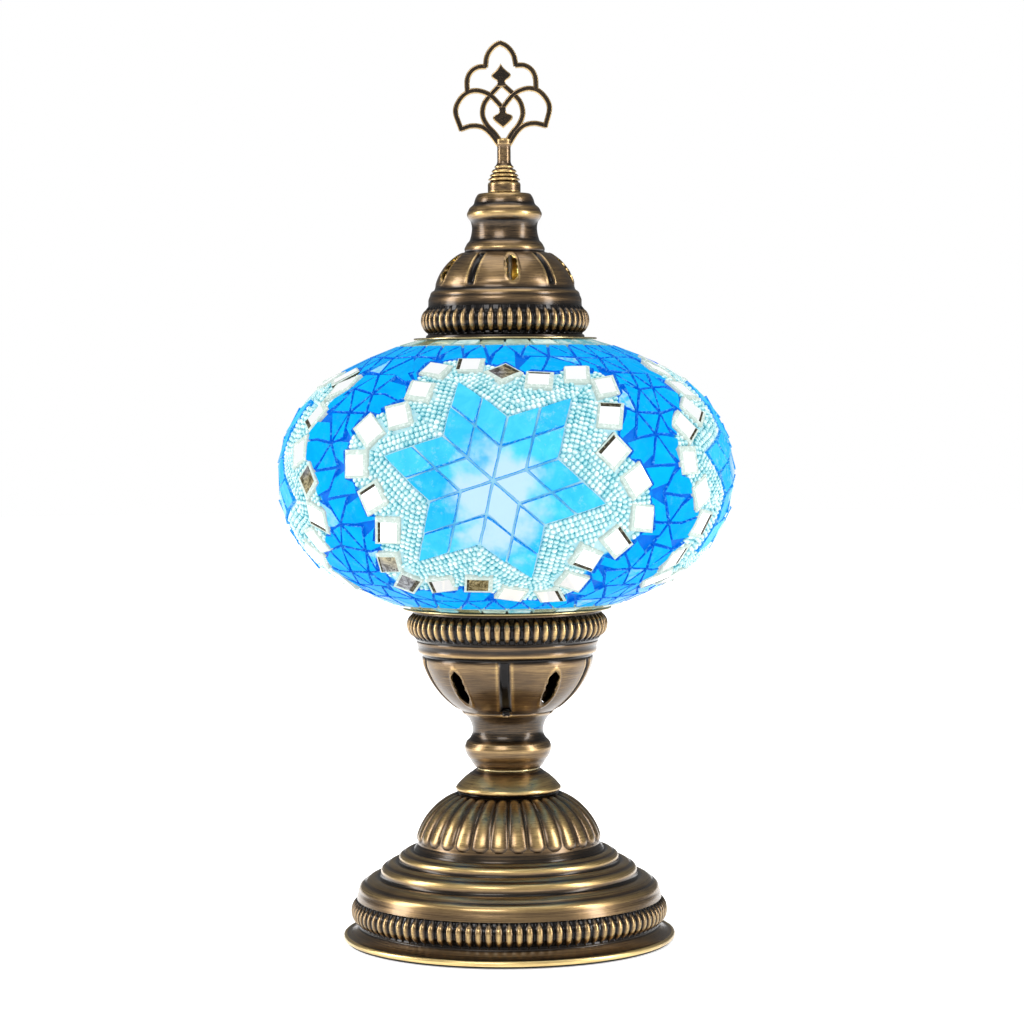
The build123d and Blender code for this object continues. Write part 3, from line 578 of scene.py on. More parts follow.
# ---------------------------------------------------------------- spun brass
# Outer outlines from the top down as (radius, height, bulge).
BASE = [
    (5.2, 68.9, 0), (13.0, 68.9, 0), (14.2, 68.2, 0.2), (20.9, 62.4, 0.4), (21.2, 60.6, 0.4), (20.2, 59.9, 0),
    (21.0, 59.3, 0), (38.3, 37.3, 4.1), (38.9, 36.0, 0), (42.6, 35.3, 0.8), (44.6, 33.2, 0.6),
    (45.0, 31.4, -0.3), (49.6, 30.4, 0.9), (52.0, 27.8, 0.7), (52.6, 25.6, -0.3), (58.4, 23.6, 1.0),
    (61.0, 20.4, 0.7), (61.5, 18.8, 0), (61.9, 16.6, 0), (61.4, 7.0, 2.4), (60.8, 6.2, 0), (61.2, 5.7, -0.1),
    (65.7, 2.7, -0.5), (66.4, 3.0, 0.1), (67.1, 2.6, 0.1), (67.3, 1.7, 0.1), (66.9, 0.9, 0.1),
]
CUP = [
    (14.2, 134.3, 0), (37.6, 134.3, 0), (38.3, 133.9, 0.1), (38.2, 132.6, 0), (37.7, 122.8, 2.6),
    (36.6, 121.6, 0), (36.9, 120.9, 0.1), (36.3, 117.8, -0.3), (35.3, 116.4, 0.4), (34.3, 115.6, 0),
    (34.4, 114.9, 0), (33.7, 110.6, 0.3), (21.4, 94.6, 1.5), (19.0, 93.2, 0), (18.3, 93.4, -0.1),
    (18.2, 91.9, 0.3), (14.4, 84.8, -1.0), (16.3, 80.8, -0.5), (17.2, 79.4, 0.2), (17.3, 76.4, 0.4),
    (15.9, 73.6, 0.2), (15.5, 73.2, 0), (13.6, 70.2, 0.1), (12.8, 69.7, 0.1), (5.2, 69.7, 0),
]
CAP = [
    (3.3, 301.5, 0), (9.8, 301.5, 0), (10.9, 300.9, 0.2), (12.2, 297.6, 0.2), (13.1, 296.5, -0.1),
    (14.6, 294.4, 0.3), (15.0, 292.6, 0.3), (13.6, 290.4, 0.2), (13.1, 287.5, -0.1), (14.2, 282.4, -0.2),
    (15.7, 280.4, 0.2), (16.2, 278.6, 0.2), (15.9, 278.1, 0), (17.2, 277.6, 0), (28.2, 263.4, 2.1),
    (28.6, 262.6, 0), (30.2, 260.4, 0.5), (30.9, 257.6, 0.3), (31.0, 256.0, 0), (31.5, 245.4, 2.6),
    (31.0, 244.9, 0), (32.0, 244.4, 0.1), (32.0, 243.4, 0),
]
SHANK = [
    (0.0, 323.6, 0), (2.6, 323.6, 0), (3.2, 322.9, 0.1), (3.1, 321.4, 0), (2.7, 318.6, -0.2), (2.7, 314.6, 0),
    (3.5, 312.6, -0.2), (3.8, 311.9, 0.2), (3.5, 311.3, 0), (4.7, 310.8, 0.2), (4.7, 309.8, 0.3),
    (4.3, 309.4, 0), (5.5, 309.0, 0.2), (5.5, 308.2, 0.3), (5.1, 307.8, 0), (6.1, 307.4, 0.2),
    (6.1, 306.6, 0.3), (5.6, 306.1, 0), (6.4, 305.7, 0.1), (6.6, 305.2, 0), (6.6, 302.0, 0), (6.3, 301.6, 0),
    (3.2, 301.6, 0),
]
# The right half of a vent, as shares of its half width and half height.
VENT = [
    (0.0, 1.0), (0.42, 0.84), (0.86, 0.66), (0.92, 0.46), (0.80, 0.30), (0.94, 0.16), (0.92, 0.02),
    (0.74, -0.12), (0.92, -0.26), (0.96, -0.46), (0.80, -0.66), (0.40, -0.84), (0.0, -1.0),
]


def smooth_step(value, low, high):
    share = min(1.0, max(0.0, (value - low) / (high - low)))
    return share * share * (3 - 2 * share)


def eased(points, reach):
    """The same outline with its corners rolled over, as spun sheet has."""
    runs = run_lengths(points)
    soft = points.copy()
    for index in range(1, len(points) - 1):
        span = min(reach, runs[index], runs[-1] - runs[index])
        near = np.abs(runs - runs[index]) <= span + 1e-9
        weights = 1.0 - np.abs(runs[near] - runs[index]) / (span + 1e-6)
        soft[index] = (points[near] * weights[:, None]).sum(0) / weights.sum()
    return soft


def angle_between(angle, target, count):
    """Signed angle from the nearest of count evenly spaced directions, one of them the target."""
    step = 2 * pi / count
    return (angle - target + step / 2) % step - step / 2


def ribbed(count, depth, width):
    """Upright oval ribs round a ring; the ground between them is sunk and dark."""
    def relief(angle, share, radius, height):
        across = abs(angle_between(angle, 0.0, count)) * count / (2 * pi) / width
        along = abs(share - 0.5) / 0.47
        inside = 1.0 - across * across - along ** 5
        ground = -depth * smooth_step(0.5 - abs(share - 0.5), 0.0, 0.09)
        if inside <= 0:
            return ground, -0.75
        rise = sqrt(inside)
        return ground + depth * 1.15 * rise, -0.50 + 0.72 * rise ** 1.5
    return relief


def gadroons(count, depth):
    """Upright ridges on a dome that end in rounded tips above a plain band."""
    def relief(angle, share, radius, height):
        across = abs(angle_between(angle, 0.0, count)) * count / (2 * pi) / 0.47
        down = max(0.0, (share - 0.80) / 0.10)
        top = max(0.0, (0.05 - share) / 0.05)
        inside = 1.0 - across * across - down * down - top * top
        band = smooth_step(share, 0.90, 1.0)
        if inside <= 0:
            return -depth * (1 - band), -0.30 + 0.24 * band
        rise = sqrt(inside)
        return depth * (rise - 1) * (1 - band), -0.30 + 0.50 * rise * rise
    return relief


def grooved(start, width, depth, top, bottom, vents=None):
    """Five upright grooves between gently swollen panels, with a rolled rim round each vent."""
    def relief(angle, share, radius, height):
        swing = angle_between(angle, radians(FRONT + start), VENTS)
        gap = abs(swing) * radius
        along = smooth_step(share, top - 0.05, top + 0.02)
        along *= 1 - smooth_step(share, bottom - 0.03, bottom + 0.05)
        sunk = (1 - smooth_step(gap, 0.30 * width, 0.62 * width)) * along
        rim = exp(-((gap - 0.76 * width) / (0.14 * width)) ** 2) * along
        swell = 0.35 * sin(abs(swing) * VENTS / 2) * along
        lip = 0.0
        if vents:
            side = abs(abs(swing) - pi / VENTS) * radius / (vents[2] / 2)
            rise = abs(height - vents[1]) / (vents[3] / 2)
            lip = exp(-(((side ** 2.2 + rise ** 2.2) ** 0.4545 - 1.12) / 0.10) ** 2)
        return swell - depth * sunk + 0.12 * rim + 0.30 * lip, -0.62 * sunk + 0.24 * rim + 0.18 * lip
    return relief


def shell_rows(stations, cuts):
    """Split a spun outline at the given heights into (points, wear) stretches."""
    points = eased(profile(stations, 0.55), 0.75)
    normals = outward_normals(points)
    wear = 0.50 + 0.46 * np.tanh(relief_wear(points, normals, 2.6) / 0.30)
    marks = [0]
    for cut in cuts:
        passed = np.arange(len(points)) <= marks[-1]
        marks.append(int(np.argmin(np.abs(points[:, 1] - cut) + 100.0 * passed)))
    marks.append(len(points) - 1)
    return [(points[a:b + 1], wear[a:b + 1]) for a, b in zip(marks, marks[1:])], points, normals


def inner_rows(points, normals):
    """The sheet's inner side with its two lips, from the bottom up."""
    inside = points - normals * WALL
    return np.concatenate([points[-1:], inside[::-1], points[:1]])


def vent_cutters(first, height, width, tall, reach):
    """Prisms that cut the pierced vents, the first one at an angle from the front, as vertices and faces."""
    vertices, faces = [], []
    right = [(x * width / 2, z * tall / 2) for x, z in VENT]
    outline = right + [(-x, z) for x, z in right[-2:0:-1]]
    count = len(outline)
    for number in range(VENTS):
        turn = radians(FRONT + (first + 360.0 * number / VENTS))
        outward = np.array((*toward(turn), 0.0))
        sideways = np.array((-sin(turn), cos(turn), 0.0))
        ends = [tuple(range(count)), tuple(range(2 * count - 1, count - 1, -1))]
        faces += shifted(ends + ring_faces(0, 2, count, True), len(vertices))
        for distance in reach:
            vertices += [outward * distance + sideways * x + np.array((0, 0, height + z)) for x, z in outline]
    return vertices, faces


def working_solid(vertices, faces):
    """A closed mesh that faces outward, for a Boolean only."""
    mesh = bpy.data.meshes.new("work")
    mesh.from_pydata([tuple(v) for v in vertices], [], faces)
    mesh.update()
    face_outward(mesh)
    return place_object("work", mesh)


def pierced(vertices, faces, cutters):
    """A closed mesh with the cutters taken out of it, as plain vertices and faces."""
    solid = working_solid(vertices, faces)
    cutter = working_solid(*cutters)
    cut = solid.modifiers.new("cut", "BOOLEAN")
    cut.operation = "DIFFERENCE"
    cut.solver = "EXACT"
    cut.object = cutter
    depsgraph = bpy.context.evaluated_depsgraph_get()
    done = solid.evaluated_get(depsgraph).to_mesh()
    made = [tuple(v.co) for v in done.vertices]
    loops = [tuple(p.vertices) for p in done.polygons]
    for work in (solid, cutter):
        data = work.data
        bpy.data.objects.remove(work)
        bpy.data.meshes.remove(data)
    return made, loops


def fine(count, pieces):
    return count * pieces


def pierced_bowl(stretch, wear, columns, relief, vents):
    """A closed stretch of sheet with its vents cut through, as (vertices, faces, wear)."""
    bowl = Lathe()
    bowl.zone(stretch, wear, columns, relief)
    half = len(bowl.vertices)

    def pressed(angle, share, radius, height):
        push, _ = relief(angle, 1 - share, radius, height)
        return -push, 0.0

    inside = (stretch - outward_normals(stretch) * WALL)[::-1]
    bowl.zone(inside, wear[::-1], columns, pressed)
    low_row = half - columns
    top_row = 2 * half - columns
    for column in range(columns):
        after = (column + 1) % columns
        bowl.faces.append((low_row + column, half + column, half + after, low_row + after))
        bowl.faces.append((column, after, top_row + after, top_row + column))
    vertices, faces = pierced(bowl.vertices, bowl.faces, vent_cutters(*vents))
    nearest = tree_of(bowl.vertices)
    worn = []
    for vertex in vertices:
        _, index, distance = nearest.find(vertex)
        worn.append(bowl.wear[index] + (0.22 if distance > 0.02 else 0.0))
    return vertices, faces, worn


def build_shell(node, stations, plan, brass, body, dull=0.0, rubbed=(), vents=None, open_between=(1e3, 1e3)):
    """A spun shell; plan lists (lower height, columns, relief, pierced) for each stretch down it.

    Each (height, reach, change) in rubbed makes a band of it brighter or darker.
    """
    shell = Lathe()
    rows, points, normals = shell_rows(stations, [step[0] for step in plan[:-1]])
    for (_, columns, relief, pierce), (stretch, wear) in zip(plan, rows):
        wear = np.where(stretch[:, 0] > FLANGE_RADIUS, np.where(stretch[:, 0] > RIM_RADIUS, 0.90, 0.50), wear)
        for height, reach, change in rubbed:
            wear = wear + change * np.exp(-((stretch[:, 1] - height) / reach) ** 2)
        if pierce:
            shell.add(*pierced_bowl(stretch, wear + dull, columns, relief, vents))
        else:
            shell.zone(stretch, wear + dull, columns, relief)
    inner = inner_rows(points, normals)
    for stretch in (inner[inner[:, 1] <= open_between[0]], inner[inner[:, 1] >= open_between[1]]):
        if len(stretch) > 1:
            shell.zone(stretch, np.full(len(stretch), 0.45), 192)
    piece = new_piece(node + "_brass", shell.vertices, shell.faces, [brass], body, node, "antique_brass", 40)
    store(piece.data, "wear", np.clip(shell.wear, -0.1, 1.1))


def spun_parts(brass):
    """The base, the lower cup and the top cap."""
    build_shell("base_shell", BASE, [
        (59.5, 192, None, False),
        (36.8, fine(30, 15), gadroons(30, 1.15), False),
        (17.2, 256, None, False),
        (6.4, fine(100, 12), ribbed(100, 0.9, 0.37), False),
        (0.0, 256, None, False),
    ], brass, "base", 0.0, ((68.6, 0.8, -0.45), (65.0, 3.2, 0.22), (61.0, 1.2, -0.22)))
    vents = (CUP_VENT, 104.3, 6.0, 14.0, (16.0, 46.0))
    build_shell("lower_cup", CUP, [
        (132.9, 192, None, False),
        (122.4, fine(64, 12), ribbed(64, 1.0, 0.34), False),
        (115.3, 192, None, False),
        (94.4, fine(VENTS, 80), grooved(MEDALLION_TURN, 4.0, 1.2, 0.02, 1.2, vents), True),
        (90.0, fine(VENTS, 48), grooved(MEDALLION_TURN, 2.6, 0.7, 0.0, 0.62), False),
        (0.0, 192, None, False),
    ], brass, "base", -0.10, ((134.2, 1.5, -0.45), (118.5, 3.0, -0.10)), vents, (93.6, 115.6))
    vents = (CAP_VENT, 270.8, 5.0, 10.8, (10.0, 40.0))
    build_shell("top_cap", CAP, [
        (277.5, 160, None, False),
        (263.2, fine(VENTS, 72), grooved(CAP_VENT + 36.0, 2.8, 0.9, 0.06, 0.92, vents), True),
        (256.2, 192, None, False),
        (245.0, fine(54, 12), ribbed(54, 0.95, 0.34), False),
        (0.0, 192, None, False),
    ], brass, "cap", -0.12, ((293.8, 2.4, 0.08), (271.0, 8.0, 0.13), (259.5, 3.0, -0.12), (243.9, 1.3, -0.5)),
        vents, (262.6, 277.9))


# ---------------------------------------------------------------- finial
# Bars of the openwork's right half and its two spades, as points from the shank's top.
BARS = [
    [(0, 39.6), (2.2, 38.5), (4.1, 36.6), (5.5, 34.0), (6.1, 30.4)],
    [(6.1, 30.4), (9.4, 30.2), (12.2, 28.4), (13.7, 25.2), (13.8, 20.6)],
    [(0, 13.6), (4.7, 18.8), (9.8, 20.9), (14.2, 20.1), (17.4, 17.0), (18.9, 12.6), (17.0, 5.8)],
    [(17.0, 5.8), (12.7, 6.9), (8.5, 6.2), (5.3, 3.6), (2.2, -0.8)],
    [(0, 23.4), (4.7, 18.8), (7.3, 15.4), (8.1, 11.0), (6.5, 7.0), (3.6, 3.6), (1.2, 0.0)],
]
SPADES = [
    [(0, 31.4), (0.9, 29.9), (2.2, 28.5), (3.6, 27.3), (3.9, 26.3), (3.0, 25.3), (1.8, 24.5), (1.6, 23.2),
     (1.9, 21.8)],
    [(0, 5.5), (1.2, 6.5), (2.5, 7.6), (3.8, 9.0), (3.9, 10.2), (2.8, 11.0), (1.7, 11.4), (1.3, 12.8),
     (1.5, 14.6)],
]


def curve_through(knots, steps=7):
    """A smooth run of points through the knots."""
    knots = [np.array(k, float) for k in knots]
    padded = [2 * knots[0] - knots[1]] + knots + [2 * knots[-1] - knots[-2]]
    points = []
    for a, b, c, d in zip(padded, padded[1:], padded[2:], padded[3:]):
        for step in range(steps):
            t = step / steps
            points.append(0.5 * (2 * b + (c - a) * t + (2 * a - 5 * b + 4 * c - d) * t * t
                                 + (3 * b - a - 3 * c + d) * t ** 3))
    points.append(knots[-1])
    return np.array(points)


def build_finial(brass):
    """Cast openwork with flat dark faces and rubbed edges, on a ringed shank."""
    lean = radians(FINIAL_LEAN)
    right = np.array((cos(lean), 0.0, sin(lean)))
    upward = np.array((-sin(lean), 0.0, cos(lean)))
    outward = np.array((0.0, -1.0, 0.0))
    ground = np.array((0.0, 0.0, FINIAL_FOOT))
    vertices, faces, wear = [], [], []

    def place(x, y, lift, worn):
        vertices.append(ground + right * x + upward * y + outward * lift)
        wear.append(worn)
        return len(vertices) - 1

    half, thick, roll = 1.08, 1.3, 0.40
    section = [(-half, 0.0, 0.62), (-half, thick - roll, 0.78), (-half + 0.14, thick - 0.14, 0.92),
               (-half + roll, thick, 0.46), (-half + roll + 0.16, thick, 0.27)]
    section = section + [(-x, y, w) for x, y, w in section[::-1]]
    section = section + [(x, -y, w) for x, y, w in section[::-1]][1:-1]
    for number, bar in enumerate(BARS):
        for mirrored in (1, -1):
            line = curve_through(bar) * np.array((mirrored, 1.0))
            before, after = line[0] - line[1], line[-1] - line[-2]
            line = np.vstack([line[0] + before * 0.6, line, line[-1] + after * 0.6])
            full = 1.0 - 0.016 * number - 0.008 * (mirrored < 0)
            rings = []
            for point, across in zip(line, outward_normals(line)):
                rings.append([place(*(point + across * x), y * full, w) for x, y, w in section])
            faces += ring_faces(rings[0][0], len(rings), len(section))
            faces += [tuple(rings[0]), tuple(rings[-1][::-1])]
    levels = [(1.0, -thick + roll, 0.8), (1.0, thick - roll, 0.8), (0.96, thick - 0.14, 0.92),
              (0.86, thick, 0.46), (0.80, thick, 0.27)]
    levels = [(s, -y, w) for s, y, w in levels[:1:-1]] + levels
    for spade in SPADES:
        side = curve_through(spade, 3)
        outline = list(side) + [np.array((-x, y)) for x, y in side[:0:-1]]
        middle = sum(outline) / len(outline)
        rings = [[place(*(middle + (p - middle) * s), y, w) for p in outline] for s, y, w in levels]
        faces += ring_faces(rings[0][0], len(rings), len(outline))
        faces += [tuple(rings[0]), tuple(rings[-1])]
    shank = Lathe()
    points = eased(profile(SHANK, 0.22), 0.3)
    worn = 0.52 + 0.40 * np.tanh(relief_wear(points, outward_normals(points), 1.0) / 0.10)
    shank.zone(points, worn, 64)
    faces += shifted(shank.faces, len(vertices))
    vertices += shank.vertices
    wear += shank.wear
    piece = new_piece("finial_brass", vertices, faces, [brass], "finial", "finial", "finial_brass", 30)
    face_outward(piece.data)
    store(piece.data, "wear", wear)


# ---------------------------------------------------------------- globe geometry
def arc_point(angle, depth=0.0):
    """Radius and height above the globe's centre of the face that lies depth below the tiles."""
    if abs(angle) <= TANGENT:
        return AXIS_OFFSET + (EQUATOR_ARC - depth) * cos(angle), (EQUATOR_ARC - depth) * sin(angle)
    side = copysign(1.0, angle)
    return (POLAR_ARC - depth) * cos(angle), (POLAR_ARC - depth) * sin(angle) - side * POLAR_DROP


def arc_angle(length):
    """Angle of the face's normal at an arc length measured from the equator."""
    knee = EQUATOR_ARC * TANGENT
    if abs(length) <= knee:
        return length / EQUATOR_ARC
    return copysign(TANGENT + (abs(length) - knee) / POLAR_ARC, length)


def surface(turn, length, depth=0.0):
    """Point, east, north and outward directions on the globe."""
    lean = arc_angle(length)
    radius, rise = arc_point(lean, depth)
    point = np.array((radius * cos(turn), radius * sin(turn), GLOBE_CENTRE + rise))
    east = np.array((-sin(turn), cos(turn), 0.0))
    outward = np.array((cos(lean) * cos(turn), cos(lean) * sin(turn), sin(lean)))
    return point, east, np.cross(outward, east), outward


def medallion_middle(number):
    return radians(FRONT + MEDALLION_TURN + number * 90.0)


def medallion_place(number, across, up):
    """Polar angle and arc length of a point of a medallion, given in surface millimetres."""
    return medallion_middle(number) + across / arc_point(arc_angle(up))[0], up


def medallion_local(turn, length):
    """The nearest medallion and the surface millimetres from its centre."""
    number = round((degrees(turn) - FRONT - MEDALLION_TURN) / 90.0)
    return number, (turn - medallion_middle(number)) * arc_point(arc_angle(length))[0], length


def lobed_radius(direction):
    return MIRROR_RING + MIRROR_WAVE * cos(6 * (direction - radians(STAR_TURN)))


def node_tiles(node):
    """Every tile of a CAD node as (corners of its outer face anticlockwise, outward normal), in mm."""
    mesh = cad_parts[node].data
    corner, index_of = {}, []
    keys = {}
    for vertex in mesh.vertices:
        point = np.array(vertex.co) / MM
        index_of.append(keys.setdefault(tuple(np.round(point, 2)), len(keys)))
        corner[index_of[-1]] = point
    corner = np.array([corner[index] for index in range(len(keys))])
    parent = list(range(len(keys)))

    def root(index):
        while parent[index] != index:
            parent[index] = parent[parent[index]]
            index = parent[index]
        return index

    triangles = [[index_of[i] for i in polygon.vertices] for polygon in mesh.polygons]
    for first, *others in triangles:
        for other in others:
            parent[root(other)] = root(first)
    groups = {}
    for triangle in triangles:
        groups.setdefault(root(triangle[0]), []).append(triangle)
    tiles = []
    for members in groups.values():
        ids = sorted({i for triangle in members for i in triangle})
        middle = corner[ids].mean(axis=0)
        areas = [np.cross(corner[b] - corner[a], corner[c] - corner[a]) for a, b, c in members]
        normal = unit(max(areas, key=np.linalg.norm))
        away = (middle - np.array((0, 0, GLOBE_CENTRE))) * np.array((0.5, 0.5, 1.0))
        if np.dot(normal, away) < 0:
            normal = -normal
        outer = corner[[i for i in ids if np.dot(corner[i] - middle, normal) > 0]]
        centre = outer.mean(axis=0)
        first = unit(outer[0] - centre)
        second = np.cross(normal, first)
        order = np.argsort([atan2(np.dot(p - centre, second), np.dot(p - centre, first)) for p in outer])
        tiles.append((outer[order], normal))
    return tiles


# ---------------------------------------------------------------- mosaic
MIRROR_GROWTH = 1.12                # the mirrors with their ground borders, against the plain squares


def locate(point):
    """Polar angle and arc length of a point near the globe."""
    radius = hypot(point[0], point[1])
    turn = atan2(point[1], point[0])
    rise = point[2] - GLOBE_CENTRE
    lean = atan2(rise, radius - AXIS_OFFSET)
    if abs(lean) <= TANGENT:
        return turn, lean * EQUATOR_ARC
    lean = atan2(abs(rise) + POLAR_DROP, radius)
    return turn, copysign(TANGENT * EQUATOR_ARC + (lean - TANGENT) * POLAR_ARC, rise)


def mirror_squares():
    """Each medallion's mirrors as (middle, two directions, half side) in its surface millimetres."""
    places = {number: [] for number in range(4)}
    for corners, _ in node_tiles("mirror_tiles"):
        middle = corners.mean(axis=0)
        turn, length = locate(middle)
        number, across, up = medallion_local(turn, length)
        _, east, north, _ = surface(turn, length)
        flat = [np.array((np.dot(c - middle, east), np.dot(c - middle, north))) for c in corners[:2]]
        one = unit(flat[1] - flat[0])
        half = np.linalg.norm(flat[1] - flat[0]) / 2 * MIRROR_GROWTH
        places[number % 4].append((np.array((across, up)), one, np.array((-one[1], one[0])), half))
    return places


def covered(point, mirrors, margin):
    """Whether a point of a medallion lies within a margin of one of its mirrors."""
    return any(abs(np.dot(point - m, u)) < h + margin and abs(np.dot(point - m, v)) < h + margin
               for m, u, v, h in mirrors)


def edge_gap(point):
    """How far a point of the globe lies outside the ring of mirrors of its medallion."""
    _, across, up = medallion_local(*locate(point))
    return hypot(across, up) - lobed_radius(atan2(up, across))


def drawn_in(point, squares):
    """A point of a field tile's edge moved towards its medallion until it meets a mirror or the beads."""
    turn, length = locate(point)
    number, across, up = medallion_local(turn, length)
    spot = np.array((across, up))
    inward = -unit(spot)
    gap = edge_gap(point)
    travel = 0.0
    while travel < gap - BEAD_EDGE and not covered(spot + inward * (travel + 0.2), squares[number % 4], 0.35):
        travel += 0.2
    moved = spot + inward * travel
    turn, length = medallion_place(number, *moved)
    return surface(turn, length)[0]


NEIGHBOUR = 2.0                     # an edge with another tile this near is shared
MEDALLION_REACH = 15.0              # an open edge farther from a medallion belongs to a collar
COLLAR_ARC = 70.0                   # arc length, from the equator, where the collars begin


def open_edges(tiles):
    """The (tile, corner) pairs whose edge borders a medallion and not another tile."""
    samples = []
    for number, (corners, _) in enumerate(tiles):
        for here, after in zip(corners, np.roll(corners, -1, axis=0)):
            samples += [(number, here + (after - here) * share) for share in (0.1, 0.3, 0.5, 0.7, 0.9)]
    tree = tree_of([point for _, point in samples])
    found = set()
    for number, (corners, _) in enumerate(tiles):
        for corner, (here, after) in enumerate(zip(corners, np.roll(corners, -1, axis=0))):
            middle = (here + after) / 2
            beside = any(samples[index][0] != number for _, index, _ in tree.find_range(middle, NEIGHBOUR))
            if not beside and edge_gap(middle) < MEDALLION_REACH and abs(locate(middle)[1]) < COLLAR_ARC:
                found.add((number, corner))
    return found


def cut_outline(corners, normal, border, squares, chance):
    """A hand-cut tile's outline: wavering sides, and border sides cut to fit a medallion."""
    centre = corners.mean(axis=0)
    outline = []
    for corner, (here, after) in enumerate(zip(corners, np.roll(corners, -1, axis=0))):
        run = after - here
        length = float(np.linalg.norm(run))
        across = np.cross(normal, run) / max(length, 0.01)
        near = corner in border or (corner - 1) % len(corners) in border
        outline.append(drawn_in(here, squares) if near else here + (centre - here) * 0.02)
        shares = (0.3, 0.7)
        if corner in border:
            steps = max(3, int(length / 1.2))
            shares = [step / steps for step in range(1, steps)]
        for share in shares:
            point = here + run * share + across * chance.uniform(-0.16, 0.12)
            outline.append(drawn_in(point, squares) if corner in border else point)
    return outline


def tile_frame(corners, normal, tip):
    """Two functions: the place of a point on a tipped tile's plane, and the point at a place and height."""
    centre = corners.mean(axis=0)
    first = unit(corners[1] - corners[0])
    second = np.cross(normal, first)

    def flat(point):
        return np.array((np.dot(point - centre, first), np.dot(point - centre, second)))

    def raised(place, height):
        return centre + first * place[0] + second * place[1] + normal * (height + float(np.dot(tip, place)))

    return flat, raised


def uniform_pair(chance, limit):
    return np.array((chance.uniform(-limit, limit), chance.uniform(-limit, limit)))


def glass_tiles(node, slot, looks, spread, chance, squares):
    """Cut tiles with an arris rolled off, each a little tipped and in its own shade."""
    vertices, faces, materials, shades = [], [], [], []
    tiles = node_tiles(node)
    borders = open_edges(tiles) if node == "field_tiles" else set()
    arris = 0.12 if node == "star_tiles" else 0.26
    for number, (corners, normal) in enumerate(tiles):
        centre = corners.mean(axis=0)
        flat, raised = tile_frame(corners, normal, uniform_pair(chance, 0.018))
        lift = chance.uniform(-0.12, 0.12)
        shade = 0.5 + chance.uniform(-spread, spread)
        if chance.random() < 0.045:
            shade = chance.uniform(1.05, 1.2)
        border = [corner for corner in range(len(corners)) if (number, corner) in borders]
        outline = cut_outline(corners, normal, border, squares, chance)
        count = len(outline)
        base = len(vertices)
        for margin, height in ((0.0, TILE_FOOT), (0.0, -0.30), (arris, 0.0)):
            for corner in outline:
                point = flat(corner)
                inset = point * (1 - margin / max(np.linalg.norm(point), 1.2))
                vertices.append(raised(inset, height + lift + float(np.dot(corner - centre, normal))))
        faces += ring_faces(base, 3, count) + [tuple(range(base + 2 * count, base + 3 * count))]
        materials += [1] * (2 * count) + [0]
        shades += [shade] * (2 * count + 1)
    piece = new_piece(node + "_cut", vertices, faces, looks, "globe", node, slot)
    piece.data.polygons.foreach_set("material_index", materials)
    store(piece.data, "shade", shades, "FACE")


def mirror_pieces(looks, chance):
    """Thick square mirrors: a clear ground border round a silvered face; many have a painted dark reflection
    along one side of the border, which is wider there, and some a face painted with a darker reflection, more
    often low down.
    """
    vertices, faces, materials = [], [], []
    silver, border_look, dark, painted_reflection = range(4)
    for corners, normal in node_tiles("mirror_tiles"):
        flat, raised = tile_frame(corners, normal, uniform_pair(chance, 0.075))
        square = [flat(corner) * MIRROR_GROWTH for corner in corners]
        half = np.linalg.norm(square[0] - square[1]) / 2
        inner = (half - chance.uniform(0.9, 1.3)) / half
        shift = uniform_pair(chance, 0.7)
        low_down = corners.mean(axis=0)[2] < GLOBE_CENTRE - 26.0
        # painted reflection: some faces, more often those low down, show a darker reflection in place of the
        # white room
        face = painted_reflection if chance.random() < (0.45 if low_down else 0.10) else silver
        # painted reflection: on many mirrors a dark strip along one side of the border stands for something
        # dark reflected there
        dark_reflection_side = chance.randrange(4) if chance.random() < 0.6 else -1
        strip = chance.uniform(0.5, 1.5)
        levels = ((1.0, TILE_FOOT, 0.0), (1.0, -0.25, 0.0), (0.97, 0.0, 0.0), (inner, 0.22, 1.0),
                  (inner - 0.05, 0.20, 1.0))
        base = len(vertices)
        for level, (scale, height, moved) in enumerate(levels):
            for index, point in enumerate(square):
                inset = point * scale + shift * moved
                if level == 4 and dark_reflection_side >= 0 and index in (dark_reflection_side, (dark_reflection_side + 1) % 4):
                    inset = inset - unit(square[dark_reflection_side] + square[(dark_reflection_side + 1) % 4]) * strip
                vertices.append(raised(inset, height - 0.1))
        faces += ring_faces(base, 5, 4) + [tuple(range(base + 16, base + 20))]
        for level in range(4):
            materials += [dark if side == dark_reflection_side and level in (0, 3) else border_look for side in range(4)]
        materials.append(face)
    piece = new_piece("mirror_tiles_cut", vertices, faces, looks, "globe", "mirror_tiles", "mirror_glass")
    piece.data.polygons.foreach_set("material_index", materials)


def star_corners():
    """The star's twelve corners in a medallion's own millimetres."""
    return [np.array(STAR_OFFSET) + STAR_SIDE * (sqrt(3) if corner % 2 == 0 else 1.0)
            * toward(radians(STAR_TURN + 30.0 * corner)) for corner in range(12)]


def distance_to(outline, point):
    """Distance from a point to a closed outline."""
    best = 1e9
    for a, b in zip(outline, outline[1:] + outline[:1]):
        run = b - a
        share = min(1.0, max(0.0, float(np.dot(point - a, run) / np.dot(run, run))))
        best = min(best, float(np.linalg.norm(point - a - run * share)))
    return best


def star_echo(corners, gap, step=0.15):
    """Closely spaced (point, heading) round the star at a distance from it, turned round its tips."""
    for index, a in enumerate(corners):
        b = corners[(index + 1) % 12]
        run = unit(b - a)
        outside = np.array((run[1], -run[0]))
        if index % 2 == 0:
            before = unit(a - corners[index - 1])
            start = atan2(-before[0], before[1])
            swing = (atan2(outside[1], outside[0]) - start) % (2 * pi)
            steps = max(2, int(gap * swing / step))
            for angle in (start + swing * number / steps for number in range(steps)):
                yield a + gap * toward(angle), angle + pi / 2
        for number in range(int(np.linalg.norm(b - a) / step)):
            yield a + run * step * number + outside * gap, atan2(run[1], run[0])


